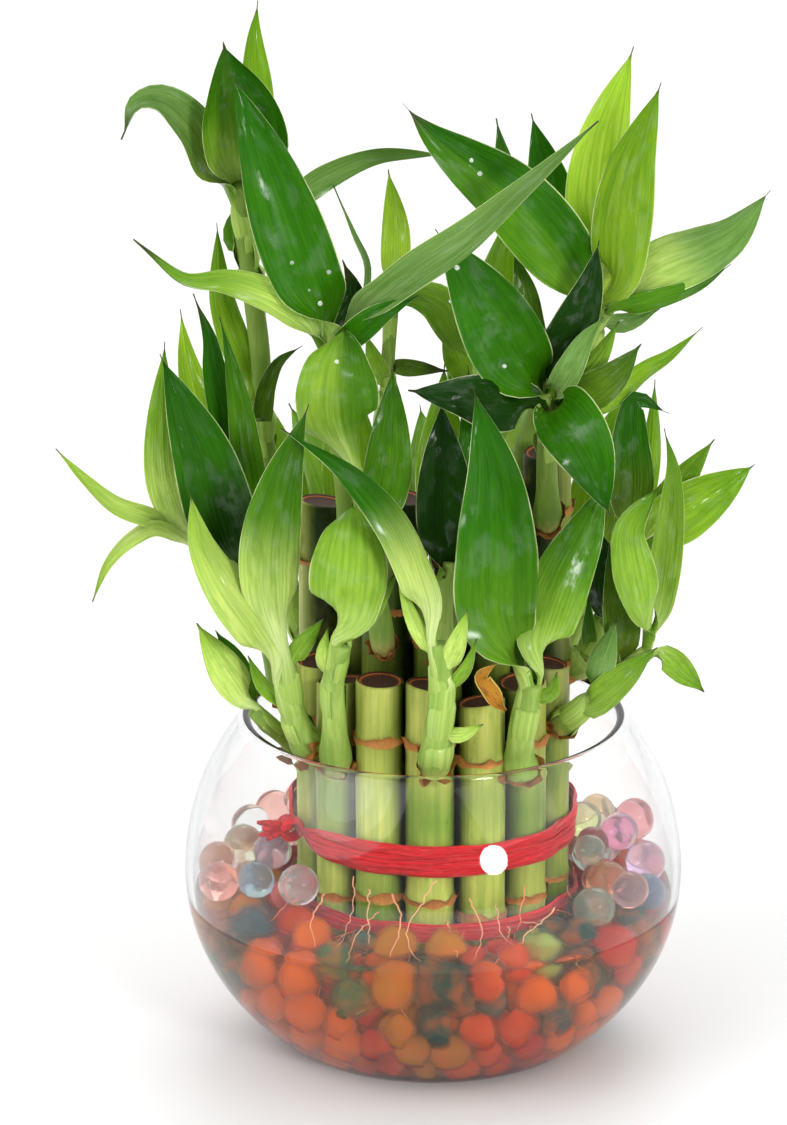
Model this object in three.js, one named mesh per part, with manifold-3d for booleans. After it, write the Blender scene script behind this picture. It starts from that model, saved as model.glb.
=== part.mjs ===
// Lucky bamboo: a tied bundle of leafy canes that stands in water beads in a round glass bowl.
// Millimetres, +Z up. The origin is the middle of the bowl's flat foot, and +Y is away from the front.
import * as THREE from "three";
import { mergeVertices } from "three/addons/utils/BufferGeometryUtils.js";
import Module from "manifold-3d";

const wasm = await Module();
wasm.setup();

const { Vector2, Vector3 } = THREE;
const { degToRad } = THREE.MathUtils;

// ---- driving dimensions ----

const GAP = 0.3; // between pieces that touch
const WELD = 1e-4; // corners closer than this are one
const FINEST = 0.05; // the smallest detail that a shoot keeps
const CURVE_SAMPLES = 40;
const SEAT_SEARCH = 5; // how far off the cane a stem's foot may start
const SEAT_TURNS = 4;

const BOWL_RADIUS = 55; // at the widest
const BOWL_WAIST = 39; // height of the widest
const BOWL_DROP = 48; // half height of the egg-shaped lower half, which the foot cuts off
const BOWL_RIM = 74.2;
const GLASS = 2.4; // wall
const GLASS_FLOOR = 5;
const BOWL_STEPS = 9; // rings from foot to rim
const BOWL_SIDES = 32;

const CANE_RADIUS = 5.3;
const NODE_RADIUS = 5.6; // at the swollen rings
const CANE_SIDES = 9;
const CANE_FOOT = 26;
const OUTER_RING = { count: 14, radius: 25.2, start: -2 }; // degrees from the front, towards +X
const INNER_RING = { count: 7, radius: 14, start: -48 };
const OUTER_TOPS = [90.5, 86, 88, 89, 134, 91, 88, 90, 87, 91, 122, 89, 88, 90.5];
const INNER_TOPS = [116, 110, 114, 126, 119, 121, 113];
const NODE_BELOW_TOP = 13;
const NODE_STEP = 36; // from one node ring down to the next
const NODE_RISE = { below: 1.6, above: 1.2 }; // over which a cane swells at a node

const BED_SOCKET = 32.5; // radius of the hollow that the tied bundle stands in
const BED_DISH = 1.5; // the fall of the top of the beads from the glass to the hollow
const BED_TOP = 38;
const BED_STEPS = 5;

const RIBBON_THICK = 1;
const RIBBON_SIDES = 30;
const UPPER_RIBBON = { low: 47.7, high: 55.7 };
const LOWER_RIBBON = { low: 33.5, high: 37.3 };
const KNOT = { turn: -72, length: 9, width: 4.5, height: 6 };

const LEAF_THICK = 1;
const TIP_THICK = 0.3;
const LEAF_TIP = 0.25; // half width where a leaf ends
const LEAF_WIDEST = 0.42; // of its length
const LEAF_NECK = 0.36; // width at the base, as a share of the widest
const LEAF_TAPER = 0.85; // below 1 for a blunt tip
const STEM_SIDES = 7;
const STEM_STEP = 4.5; // stretches of a stem, in radii
const LONG_LEAF = 26;
const LEAF_STEPS = [0, 0.16, 0.34, 0.52, 0.72, 0.9, 1];
const SHORT_STEPS = [0, 0.2, 0.5, 0.8, 1]; // on a leaf under LONG_LEAF

// Places on the plant are written as [across, up, back]: where an eye in front sees them against an
// upright card through the foot of the bowl, and how far back they really lie.
const EYE_TILT = degToRad(18.5);
const EYE_AWAY = 1600;
const EYE_AIM = { across: -8.8, up: 104.1 };

// ---- the shoots ----

// Each shoot grows from a cane at a height, towards a bearing in degrees from the front. Its stem runs
// through the places given. A leaf is its places from base to tip, its width, how far it is turned from
// facing the eye at base and tip, and how far its halves fold: towards the eye if positive.
const SHOOTS = {
  shoot_left_tall: {
    cane: ["outer", 10],
    height: 110,
    bearing: -95,
    radius: 2.6,
    stem: [[-36, 121, 9], [-38.4, 134, 8], [-38.6, 150, 7], [-40.5, 166, 6], [-42.5, 182, 6]],
    leaves: [
      [[[-42.5, 186, 10], [-39.4, 205, 13], [-39.8, 222, 15], [-39.3, 228, 17]], 8.5, 5, 5, -12],
      [[[-41, 178, 3], [-41, 192, 1], [-43, 206, 0], [-46.3, 218, 0]], 21, 10, -5, 34],
      [[[-45, 186.5, 5], [-50.5, 195.5, 2], [-57, 205, -2], [-63.5, 207.8, -5],
        [-68.3, 202, -8]], 13, 20, 50, 25],
      [[[-43, 172, 8], [-44.5, 177, 9], [-43.3, 184, 9]], 5, 0, 0, -10],
      [[[-40.5, 137, 4], [-43, 150, 6], [-47, 163, 9], [-48.2, 178.5, 12]], 7.5, 0, 10, -20],
      [[[-38.3, 136, 0], [-37.2, 143.5, -1], [-34.5, 149, -1], [-30, 152, -1]], 4.8, 0, 20, 20],
      [[[-34, 184, 13], [-24, 190.6, 18], [-12, 195.4, 20], [1.5, 195.2, 20]], 7, 30, 40, 15],
      [[[-40.5, 181, 14], [-37, 190, 24], [-33, 194, 34]], 10, 0, 15, -15],
    ],
  },
  shoot_left_reaching: {
    cane: ["inner", 0],
    height: 104,
    bearing: -75,
    radius: 2.4,
    stem: [[-19.5, 118, -11], [-21.5, 134, -11], [-22.5, 150, -9]],
    leaves: [
      [[[-23.5, 157, -10], [-29, 170, -12], [-34.5, 185, -11], [-39, 198, -9],
        [-44, 211, -7]], 17, 0, 0, 18],
      [[[-26.5, 150, -11], [-30, 158.5, -13], [-37, 163, -14], [-46, 166, -13], [-56, 166.8, -12],
        [-65.5, 175.2, -11]], 9, 10, 50, 20],
      [[[-19, 157, -10], [-6, 168.8, -17], [7, 177.6, -20], [20, 188.5, -20],
        [35.5, 201.5, -17]], 9.5, 20, 45, 15],
      [[[-18.5, 154.5, -13], [-12, 159.6, -14.5], [-4.5, 163.2, -15]], 6.5, 10, 10, 15],
      [[[-19, 160, 1], [-17.5, 164, 4], [-19.8, 170.6, 5]], 6, 10, 10, 0],
      [[[-17, 158, 0], [-14.8, 170, 6], [-17.5, 177, 8], [-22, 188, 9]], 3, 55, 60, 10],
      [[[-22, 155, -2], [-24, 164, 9], [-29, 168, 20]], 9, 0, 15, -15],
    ],
  },
  shoot_mid_spoon: {
    cane: ["inner", 0],
    height: 96,
    bearing: -5,
    radius: 2.2,
    stem: [[-14, 108, -20], [-16.5, 120, -21], [-18, 127, -21]],
    leaves: [
      [[[-18.5, 129, -22], [-22, 137, -27], [-21.5, 147, -27], [-19, 155.5, -22]], 17.5, 0, 0, -15],
      [[[-14, 108, -18], [-10.5, 122, -17], [-9.5, 133, -16], [-9, 146, -13]], 11, 0, 0, 15],
    ],
  },
  shoot_centre_thin: {
    cane: ["inner", 5],
    height: 110,
    bearing: -100,
    radius: 1.9,
    stem: [[-13, 128, 10], [-10.4, 140, 8], [-10, 150, 9], [-9, 162, 13]],
    leaves: [
      [[[-9, 165, 15], [-8.3, 178, 19], [-9.8, 190.6, 22]], 6.8, 0, 0, -12],
      [[[-10, 148, 6], [-4, 147.7, 3], [2.5, 147, 2]], 4.2, 10, 20, 15],
      [[[-10.2, 142, 7], [-13, 149, 5], [-14.8, 154.5, 4]], 4.5, 10, 10, 10],
    ],
  },
  shoot_middle: {
    cane: ["inner", 1],
    height: 94,
    bearing: 10,
    radius: 2.4,
    stem: [[2.5, 96, -22], [4, 104, -22]],
    leaves: [
      [[[3.5, 98, -23], [3, 112, -22], [2.4, 126, -20], [2, 138, -17]], 13.5, 0, 0, 14],
      [[[6, 103, -20], [9, 117, -15], [10, 130, -12], [8, 146, -6]], 11, 10, 10, 10],
    ],
  },
  shoot_centre_right: {
    cane: ["inner", 2],
    height: 104,
    bearing: 120,
    radius: 1.9,
    stem: [[18.5, 117, -6], [14, 130, -5], [10.5, 145, 3]],
    leaves: [
      [[[9.5, 152, 6], [3, 160.5, 4], [-4, 161.5, 3], [-11, 156, 2]], 9, 10, 30, 15],
      [[[11, 142, 1], [6.5, 150, 6], [3, 156, 9]], 9, 0, 0, -12],
    ],
  },
  shoot_left_side: {
    cane: ["outer", 11],
    height: 80,
    bearing: -100,
    radius: 2.5,
    stem: [[-38, 90, -7], [-44, 99, -8], [-50, 106, -6]],
    leaves: [
      [[[-55, 111, -4], [-59.3, 121, -6], [-60.4, 137, -6], [-60, 151.5, -4]], 9.5, 0, 0, -15],
      [[[-43.5, 102, -12], [-47.5, 115, -15], [-51.5, 128, -15], [-56, 139, -13],
        [-60, 148.3, -11]], 16, 0, 0, 15],
      [[[-47, 118, 1], [-52.5, 140, 5], [-55, 150, 7], [-56.2, 158.8, 9]], 9.5, 0, 0, -15],
      [[[-46, 112, 2], [-49, 122, 13], [-50, 129, 25]], 10, 0, 15, -15],
      [[[-43, 114, -4], [-46, 135, -6], [-49, 147, -6], [-50, 154, -5],
        [-53, 162.5, -4]], 9, 10, 20, 14],
      [[[-41, 112, -9], [-42.4, 133, -10], [-45, 148, -10], [-47.3, 157.5, -9]], 7.5, 5, 5, 18],
      [[[-54, 109.5, -3], [-63, 113.6, -6], [-71, 116.6, -9], [-78, 122.6, -12],
        [-83.6, 128.8, -14]], 5.2, 20, 30, 18],
      [[[-56, 109.5, -7], [-62, 112, -8], [-68, 109, -8], [-73, 103.5, -8],
        [-75.8, 96, -7]], 4, 10, 30, -18],
    ],
  },
  shoot_left_low: {
    cane: ["outer", 11],
    height: 71,
    bearing: -60,
    radius: 2.2,
    stem: [[-37, 68, -13], [-40, 71, -14]],
    leaves: [
      [[[-39.5, 70.5, -15], [-43.5, 76, -17], [-48, 83, -17], [-51.8, 89, -16]], 9, 0, 10, -20],
      [[[-40, 71, -12], [-42, 77, -12], [-45.5, 84, -11], [-48, 88, -10]], 6, 20, 20, 10],
    ],
  },
  shoot_front_left: {
    cane: ["outer", 12],
    height: 74,
    bearing: -62,
    radius: 3.1,
    stem: [[-31, 70, -20], [-32.3, 77, -22], [-33.5, 84, -23]],
    leaves: [
      [[[-33.5, 84, -24], [-36.2, 95, -28], [-36.4, 108, -31], [-33.5, 123, -32],
        [-28.6, 137, -31]], 13.5, 0, 0, -12],
      [[[-34.5, 77, -22], [-40, 90, -27], [-46.5, 99, -28], [-51.5, 108, -26],
        [-54, 118, -24]], 11, 5, 10, -18],
      [[[-31, 79, -24], [-29.3, 85.3, -26], [-25, 90.8, -27]], 4.8, 0, 10, -15],
      [[[-34, 70.5, -19], [-38, 76.5, -20], [-41, 82.6, -19]], 3.8, 10, 10, 15],
    ],
  },
  shoot_front_spoon: {
    cane: ["outer", 12],
    height: 72,
    bearing: -8,
    radius: 2.9,
    stem: [[-22, 68, -26], [-22.2, 78, -29], [-20.5, 86, -32]],
    leaves: [
      [[[-20, 88, -34], [-19.3, 98, -37], [-18.4, 109, -37.5], [-17.8, 115.2, -33],
        [-17, 114, -25]], 17.6, 0, 0, -14],
      [[[-19, 83, -33], [-14.5, 92.4, -33], [-8, 102, -32]], 5, 5, 10, -15],
      [[[-23, 77, -30], [-24.6, 83, -31], [-23.6, 88.8, -30]], 3.6, 0, 0, -15],
    ],
  },
  shoot_front_middle: {
    cane: ["outer", 0],
    height: 75,
    bearing: 6,
    radius: 3,
    stem: [[1.2, 68, -36], [2, 77, -37], [1.2, 86, -37]],
    leaves: [
      [[[0.6, 88, -38], [-2.2, 98, -40], [-8.5, 113, -40], [-19.5, 125, -36],
        [-32, 132.8, -32]], 10.5, 25, 55, -15],
      [[[0, 80, -37], [-3.6, 89.5, -38], [-7.8, 100.5, -36]], 3.8, 0, 10, -15],
      [[[3.2, 77, -39], [5, 85, -40.5], [7.5, 92.6, -41]], 4.8, 0, 0, -12],
      [[[4, 73, -37.5], [7.2, 80, -39], [9.6, 86.5, -40]], 3, 10, 10, -12],
      [[[2.6, 64.8, -37], [6.6, 65.6, -38], [10.6, 67.6, -37.5]], 3.6, 0, 0, -12],
    ],
  },
  shoot_front_right: {
    cane: ["outer", 2],
    height: 72,
    bearing: -4,
    radius: 3.3,
    stem: [[20, 68, -28], [22, 77, -29]],
    leaves: [
      [[[19, 79, -30], [14.5, 91, -35], [14.3, 107, -37], [13.5, 124, -34],
        [9.6, 141, -29]], 18.5, 0, 0, 10],
      [[[24.5, 80, -29], [25, 89, -32], [28.8, 100, -33], [34, 111, -32],
        [38.5, 124, -27]], 14, 0, 5, -10],
      [[[24, 72, -29], [26.6, 75, -30], [27.6, 79, -30]], 3.6, 0, 0, -12],
    ],
  },
  shoot_right_low: {
    cane: ["outer", 3],
    height: 77,
    bearing: 34,
    radius: 2.3,
    stem: [[34.5, 72, -15], [41, 78.5, -13], [48.5, 84.5, -10]],
    leaves: [
      [[[31, 69, -17], [36, 72.5, -18], [42, 77.6, -17], [49, 84, -13]], 8, 10, 20, -18],
      [[[49, 85, -8], [53.5, 82, -8], [56.5, 79.2, -8], [59.8, 76, -7]], 6.5, 0, 10, 18],
      [[[49, 86.5, -12], [45.8, 95, -14], [44, 104, -15], [43.6, 111.5, -14],
        [49.6, 119.8, -12]], 10.5, 0, 20, 14],
      [[[49.5, 87, -7], [51.3, 98, -6], [52.8, 112, -6], [53.6, 125, -5],
        [52, 132.6, -4]], 7.5, 0, 10, 18],
    ],
  },
  shoot_right_side: {
    cane: ["outer", 4],
    height: 84,
    bearing: 98,
    radius: 2.4,
    stem: [[37, 88, 5], [41, 98, 4], [44, 108, 4]],
    leaves: [
      [[[48, 109, 4], [54.5, 114, 6], [62, 118.8, 9], [70, 124.6, 12]], 13, 5, 10, -12],
      [[[44, 108, 8], [46, 118, 15], [46, 126, 23]], 10, 0, 15, -15],
      [[[50, 114, 10], [56, 122.5, 14], [62, 130.4, 17]], 8, 5, 10, -12],
      [[[43.5, 111, 1], [44.5, 122, 0], [44, 133, -1], [45.5, 140.5, 0],
        [51, 138.2, 1]], 10, 0, 10, 14],
      [[[46, 113, 9], [48.6, 127, 10], [49.6, 144, 10]], 5, 0, 0, -12],
      [[[38, 89, 0], [39, 98, -2], [37, 111, -2]], 9, 0, 5, 12],
      [[[41, 92, 9], [43.5, 100, 9], [41.5, 110, 9]], 8, 0, 5, 12],
      [[[34, 83, 1], [34.9, 89, -2], [34.8, 96, -3]], 3.6, 0, 0, 12],
    ],
  },
  shoot_right_crown: {
    cane: ["outer", 4],
    height: 121,
    bearing: 0,
    radius: 2.6,
    stem: [[25.5, 130, -7], [26, 139, -7]],
    leaves: [
      [[[24, 140, -9], [29.5, 136.5, -19], [34, 129.5, -25], [38.8, 116.8, -26]], 15, 0, 10, 12],
      [[[22.5, 141, -8], [18, 150.5, -12], [12.5, 160.5, -14], [7.5, 168.5, -14],
        [2, 176.5, -13]], 18, 0, 0, 14],
      [[[26.5, 147, -7], [31.5, 157, -9], [35, 166, -9], [36.7, 174, -8]], 10.5, 0, 10, 12],
      [[[28, 141, -10], [30.5, 147.5, -12], [34, 154, -12], [37.3, 158, -12]], 6.5, 10, 10, 14],
      [[[30, 140, -7], [36.5, 149, -7], [41, 157, -6]], 5.5, 0, 10, -12],
      [[[29, 139.5, -9], [36, 142.6, -11], [41, 146.4, -11], [45.4, 151.6, -10]], 9, 0, 10, 14],
      [[[31, 137, -6], [40, 140.5, -1], [47, 146.6, 4], [53, 150.4, 8],
        [59.5, 156, 12]], 5, 15, 20, -15],
      [[[22, 138.6, -10], [14, 140, -17], [6, 141.5, -21], [-3, 142.3, -22]], 13, 10, 20, -16],
      [[[23.5, 143, -3], [21, 157, 1], [20.4, 165, 3], [18.3, 173, 5]], 8.5, 0, 10, 12],
      [[[24, 141, -2], [19, 148, 8], [15, 152, 18]], 10, 0, 15, -15],
    ],
  },
  shoot_right_tall: {
    cane: ["inner", 3],
    height: 112,
    bearing: 160,
    radius: 2.6,
    stem: [[21, 131, 18], [28, 146, 15], [38.5, 161, 5]],
    leaves: [
      [[[34.5, 164, 2], [27, 175, -1], [17, 186, -3], [6, 194.5, -4], [-0.5, 199.8, -4],
        [-5, 204.8, -3]], 17, 0, 10, 14],
      [[[33, 165, 9], [20, 183, 14], [15.6, 194, 16], [14.3, 204.3, 18]], 8, 0, 10, 12],
      [[[34, 163, 8], [27, 179, 18], [24.4, 192, 22], [22.3, 204.5, 24]], 11.5, 0, 10, 12],
      [[[38.5, 170, 4], [36.8, 185, 4], [38.6, 200, 6], [44.1, 217, 9]], 14.5, 0, 0, -12],
      [[[41, 166, 0], [42.2, 179, -4], [44.6, 193, -7], [50.2, 209, -9]], 13.5, 0, 0, -12],
      [[[42, 164, 4], [51, 169.8, 0], [60, 173.6, -3], [67, 177.6, -5],
        [73.8, 185.4, -6]], 13, 0, 10, 12],
      [[[39, 166, 9], [38, 176, 20], [34, 183, 32]], 12, 0, 15, -15],
      [[[41, 163, 8], [47, 168, 18], [52, 169, 28]], 9, 0, -15, -15],
      [[[41, 161, 0], [51, 163.2, -3], [60, 166.4, -3], [65.8, 170.2, -2]], 5, 10, 20, -15],
      [[[37, 156, 6], [43, 157.6, 9], [50, 160.6, 10]], 4.5, 10, 10, -12],
    ],
  },
};

// The back of the plant: each shoot is a cane, the height it grows at, its size, and how its fan of
// leaves is turned.
const BACK_SHOOTS = {
  shoot_back_right: { cane: ["outer", 5], height: 77, size: 1, swing: 0 },
  shoot_back_mid_right: { cane: ["outer", 6], height: 73, size: 1.12, swing: 4 },
  shoot_back_middle: { cane: ["outer", 7], height: 78, size: 0.94, swing: 2 },
  shoot_back_mid_left: { cane: ["outer", 8], height: 72, size: 1.1, swing: 0 },
  shoot_back_left: { cane: ["outer", 9], height: 77, size: 1, swing: 6 },
  shoot_back_high: { cane: ["inner", 4], height: 106, size: 1.15, swing: 5 },
};
const FAN_RADIUS = 2.4;
const FAN_STEM = 22;
const FAN_LEANS = [35, 12]; // of the stem's lower and upper half
const FAN_NECK = 4; // from the stem to where a leaf starts to spread
const FAN_FOLD = -14;
// swing, length, width, lean from upright at base and at tip
const FAN_LEAVES = [
  [-34, 34, 11, 34, 56],
  [26, 36, 12, 30, 52],
  [10, 38, 12, 24, 50],
  [-6, 42, 13, 8, 22],
];

const DRY_LEAF = {
  places: [[16.2, 71, -36], [12.5, 74.6, -37], [10, 78.6, -36], [15, 82, -34]],
  width: 6,
  turn: [20, 60],
  fold: 30,
};

// ---- finishes ----

const finish = (color, roughness) => new THREE.MeshStandardMaterial({ color, roughness, metalness: 0 });
const GLASS_LOOK = { color: 0xe9f1f0, roughness: 0.05 };
const BEAD_LOOK = { color: 0xd9662b, roughness: 0.12 };
const CANE_LOOK = { color: 0x8fa64b, roughness: 0.45 };
const LEAF_LOOK = { color: 0x3f8420, roughness: 0.38 };
const DRY_LOOK = { color: 0xc98a2e, roughness: 0.7 };
const RIBBON_LOOK = { color: 0xc9151d, roughness: 0.25 };

// ---- shape helpers ----

function solidFrom(geometry) {
  for (const name of ["normal", "uv"]) {
    geometry.deleteAttribute(name);
  }
  const merged = mergeVertices(geometry, WELD);
  return new wasm.Manifold(
    new wasm.Mesh({
      numProp: 3,
      vertProperties: new Float32Array(merged.attributes.position.array),
      triVerts: new Uint32Array(merged.index.array),
    }),
  );
}

function meshOf(name, solid, look) {
  const { vertProperties, triVerts } = solid.getMesh();
  const geometry = new THREE.BufferGeometry();
  geometry.setAttribute("position", new THREE.BufferAttribute(vertProperties, 3));
  geometry.setIndex(new THREE.BufferAttribute(triVerts, 1));
  geometry.computeVertexNormals();
  const mesh = new THREE.Mesh(geometry, finish(look.color, look.roughness));
  mesh.name = name;
  return mesh;
}

function turned(profile, sides) {
  const points = profile.map(([radius, height]) => new Vector2(radius, height));
  const geometry = new THREE.LatheGeometry(points, sides);
  geometry.rotateX(Math.PI / 2);
  return solidFrom(geometry);
}

function around(radius, bearing, height = 0) {
  const angle = degToRad(bearing);
  return new Vector3(radius * Math.sin(angle), -radius * Math.cos(angle), height);
}

const ACROSS = new Vector3(1, 0, 0);
const CARD_UP = new Vector3(0, Math.sin(EYE_TILT), Math.cos(EYE_TILT));
const LOOK = new Vector3(0, Math.cos(EYE_TILT), -Math.sin(EYE_TILT));
const EYE = ACROSS.clone()
  .multiplyScalar(EYE_AIM.across)
  .addScaledVector(CARD_UP, EYE_AIM.up)
  .addScaledVector(LOOK, -EYE_AWAY);

// The point at a depth that the eye sees at a place on the card.
function spot([across, up, back]) {
  const ray = ACROSS.clone().multiplyScalar(across).addScaledVector(CARD_UP, up).sub(EYE);
  return EYE.clone().addScaledVector(ray, (back - EYE.y) / ray.y);
}

// ---- bowl, beads and ribbons ----

function bowlRadius(height, inset) {
  const half = height < BOWL_WAIST ? BOWL_DROP - inset : BOWL_RADIUS - inset;
  const share = (height - BOWL_WAIST) / half;
  return (BOWL_RADIUS - inset) * Math.sqrt(Math.max(0, 1 - share * share));
}

function bowlWall(from, to, steps, inset) {
  const points = [];
  for (let step = 0; step <= steps; step += 1) {
    const height = from + ((to - from) * step) / steps;
    points.push([bowlRadius(height, inset), height]);
  }
  return points;
}

function glassBowl() {
  const outside = bowlWall(0, BOWL_RIM, BOWL_STEPS, 0);
  const lip = [[(bowlRadius(BOWL_RIM, 0) + bowlRadius(BOWL_RIM, GLASS)) / 2, BOWL_RIM + GLASS / 3]];
  const inside = bowlWall(BOWL_RIM, GLASS_FLOOR, BOWL_STEPS, GLASS);
  return turned([[0, 0], ...outside, ...lip, ...inside, [0, GLASS_FLOOR]], BOWL_SIDES);
}

function beadBed() {
  const wall = bowlWall(GLASS_FLOOR + GAP, BED_TOP, BED_STEPS, GLASS + GAP);
  const socket = CANE_FOOT - GAP;
  const inner = [[BED_SOCKET, BED_TOP - BED_DISH], [BED_SOCKET, socket], [0, socket]];
  return turned([[0, GLASS_FLOOR + GAP], ...wall, ...inner], BOWL_SIDES);
}

function ribbonBand({ low, high }) {
  const inner = OUTER_RING.radius + NODE_RADIUS + GAP;
  const outer = inner + RIBBON_THICK;
  return turned([[inner, low], [outer, low], [outer, high], [inner, high], [inner, low]], RIBBON_SIDES);
}

function upperRibbon() {
  const knot = new THREE.BoxGeometry(KNOT.width, KNOT.length, KNOT.height);
  const middle = (UPPER_RIBBON.low + UPPER_RIBBON.high) / 2;
  const out = OUTER_RING.radius + NODE_RADIUS + GAP + KNOT.length / 2;
  knot.rotateZ(degToRad(KNOT.turn));
  knot.translate(...around(out, KNOT.turn, middle));
  return ribbonBand(UPPER_RIBBON).add(solidFrom(knot));
}

// ---- canes ----

function nodeHeights(top) {
  const heights = [];
  for (let height = top - NODE_BELOW_TOP; height > CANE_FOOT + 3; height -= NODE_STEP) {
    heights.unshift(height);
  }
  return heights;
}

function caneSolid(top, foot) {
  const rings = nodeHeights(top).flatMap((height) => [
    [CANE_RADIUS, height - NODE_RISE.below],
    [NODE_RADIUS, height],
    [CANE_RADIUS, height + NODE_RISE.above],
  ]);
  const profile = [[0, CANE_FOOT], [CANE_RADIUS, CANE_FOOT], ...rings, [CANE_RADIUS, top], [0, top]];
  return turned(profile, CANE_SIDES).translate([foot.x, foot.y, 0]);
}

function ringFoot(ring, index) {
  return around(ring.radius, ring.start + (360 / ring.count) * index);
}

function caneFoot([ring, index]) {
  return ringFoot(ring === "outer" ? OUTER_RING : INNER_RING, index);
}

// ---- leaves and shoots ----

function leafOutline(share) {
  if (share < LEAF_WIDEST) {
    return LEAF_NECK + (1 - LEAF_NECK) * Math.sin((Math.PI / 2) * (share / LEAF_WIDEST));
  }
  return Math.cos((Math.PI / 2) * ((share - LEAF_WIDEST) / (1 - LEAF_WIDEST))) ** LEAF_TAPER;
}

// The four corners of a leaf's section: left edge, front of the rib, right edge and back of the rib.
function leafSection(centre, along, share, { width, turn, fold }) {
  const toEye = EYE.clone().sub(centre).normalize();
  const side = along.clone().cross(toEye).normalize();
  side.applyAxisAngle(along, degToRad(turn[0] + (turn[1] - turn[0]) * share));
  const face = side.clone().cross(along);
  const half = Math.max((width / 2) * leafOutline(share), LEAF_TIP);
  const front = (share < 1 ? LEAF_THICK : TIP_THICK) / 2;
  const reach = half * Math.cos(degToRad(fold));
  const lift = half * Math.sin(degToRad(fold));
  const at = (across, out) => centre.clone().addScaledVector(side, across).addScaledVector(face, out);
  return [at(-reach, lift), at(0, front), at(reach, lift), at(0, -front)];
}

function loft(sections) {
  const count = sections[0].length;
  const last = (sections.length - 1) * count;
  const index = [];
  for (let row = 0; row < sections.length - 1; row += 1) {
    for (let corner = 0; corner < count; corner += 1) {
      const next = (corner + 1) % count;
      const [a, b] = [row * count + corner, row * count + next];
      index.push(a, b, b + count, a, b + count, a + count);
    }
  }
  index.push(0, 3, 1, 1, 3, 2, last, last + 1, last + 3, last + 1, last + 2, last + 3);
  const geometry = new THREE.BufferGeometry();
  const points = sections.flat().flatMap((point) => point.toArray());
  geometry.setAttribute("position", new THREE.Float32BufferAttribute(points, 3));
  geometry.setIndex(index);
  return geometry;
}

function leafSolid(points, shape) {
  const spine = new THREE.CatmullRomCurve3(points, false, "centripetal");
  const steps = spine.getLength() < LONG_LEAF ? SHORT_STEPS : LEAF_STEPS;
  const sections = steps.map((share) =>
    leafSection(spine.getPointAt(share), spine.getTangentAt(share), share, shape),
  );
  const solid = solidFrom(loft(sections));
  return solid.volume() < 0 ? solidFrom(loft(sections.map((corners) => corners.toReversed()))) : solid;
}

function stemSolid(curve, radius) {
  const corners = [];
  for (let side = 0; side < STEM_SIDES; side += 1) {
    const angle = (2 * Math.PI * side) / STEM_SIDES;
    corners.push(new Vector2(Math.cos(angle), Math.sin(angle)).multiplyScalar(radius));
  }
  const steps = Math.max(3, Math.round(curve.getLength() / (STEM_STEP * radius)));
  const options = { steps, extrudePath: curve, bevelEnabled: false };
  return solidFrom(new THREE.ExtrudeGeometry(new THREE.Shape(corners), options));
}

function nearestOn(curve, point) {
  let best = curve.getPoint(0);
  for (const candidate of curve.getPoints(CURVE_SAMPLES)) {
    if (candidate.distanceTo(point) < best.distanceTo(point)) {
      best = candidate;
    }
  }
  return best;
}

// Where a stem starts beside its cane.
function budPoint({ cane, height, bearing, radius }, spare = 0) {
  return caneFoot(cane).add(around(NODE_RADIUS + GAP + radius - spare, bearing, height));
}

// A solid without the specks of air and the slivers that its leaves leave where they meet.
function withoutSpecks(solid) {
  const parts = solid.asOriginal().simplify(FINEST).decompose();
  return parts.reduce((best, part) => (part.volume() > best.volume() ? part : best));
}

function shootSolid(shoot, spare) {
  const places = [budPoint(shoot, spare), ...shoot.stem];
  const curve = new THREE.CatmullRomCurve3(places, false, "centripetal");
  let solid = stemSolid(curve, shoot.radius);
  for (const [places, width, baseTurn, tipTurn, fold] of shoot.leaves) {
    const start = nearestOn(curve, places[0]);
    solid = solid.add(leafSolid([start, ...places], { width, turn: [baseTurn, tipTurn], fold }));
  }
  return withoutSpecks(solid);
}

// The foot of the stem moves up to its cane until only the gap is left.
function seatedShoot(shoot, cane) {
  let spare = 0;
  for (let turn = 0; turn < SEAT_TURNS; turn += 1) {
    spare += shootSolid(shoot, spare).minGap(cane, SEAT_SEARCH) - GAP;
  }
  return shootSolid(shoot, spare);
}

function placedShoot(shoot) {
  const leaves = shoot.leaves.map(([places, ...rest]) => [places.map(spot), ...rest]);
  return { ...shoot, stem: shoot.stem.map(spot), leaves };
}

function outward(bearing, lean, length) {
  return around(length * Math.sin(degToRad(lean)), bearing, length * Math.cos(degToRad(lean)));
}

function fanShoot({ cane, height, size, swing }) {
  const foot = caneFoot(cane);
  const bearing = 180 - THREE.MathUtils.radToDeg(Math.atan2(foot.x, foot.y));
  const bud = budPoint({ cane, height, bearing, radius: FAN_RADIUS });
  const middle = bud.add(outward(bearing, FAN_LEANS[0], (FAN_STEM * size) / 2));
  const top = middle.clone().add(outward(bearing, FAN_LEANS[1], (FAN_STEM * size) / 2));
  const leaves = FAN_LEAVES.map(([turn, length, width, baseLean, tipLean], index) => {
    const course = bearing + turn + swing;
    const start = middle.clone().lerp(top, (index + 0.4) / FAN_LEAVES.length);
    const places = [start.add(outward(course, baseLean, FAN_NECK))];
    for (const share of [0, 0.5, 1]) {
      const lean = baseLean + (tipLean - baseLean) * share;
      places.push(places.at(-1).clone().add(outward(course, lean, (length * size) / 3)));
    }
    return [places, width * size, turn, turn, FAN_FOLD];
  });
  return { cane, height, bearing, radius: FAN_RADIUS, stem: [middle, top], leaves };
}

// ---- the plant ----

const plant = new THREE.Group();

function addPiece(name, solid, look) {
  plant.add(meshOf(name, solid, look));
}

addPiece("glass_bowl", glassBowl(), GLASS_LOOK);
addPiece("bead_bed", beadBed(), BEAD_LOOK);
addPiece("ribbon_upper", upperRibbon(), RIBBON_LOOK);
addPiece("ribbon_lower", ribbonBand(LOWER_RIBBON), RIBBON_LOOK);

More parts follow.
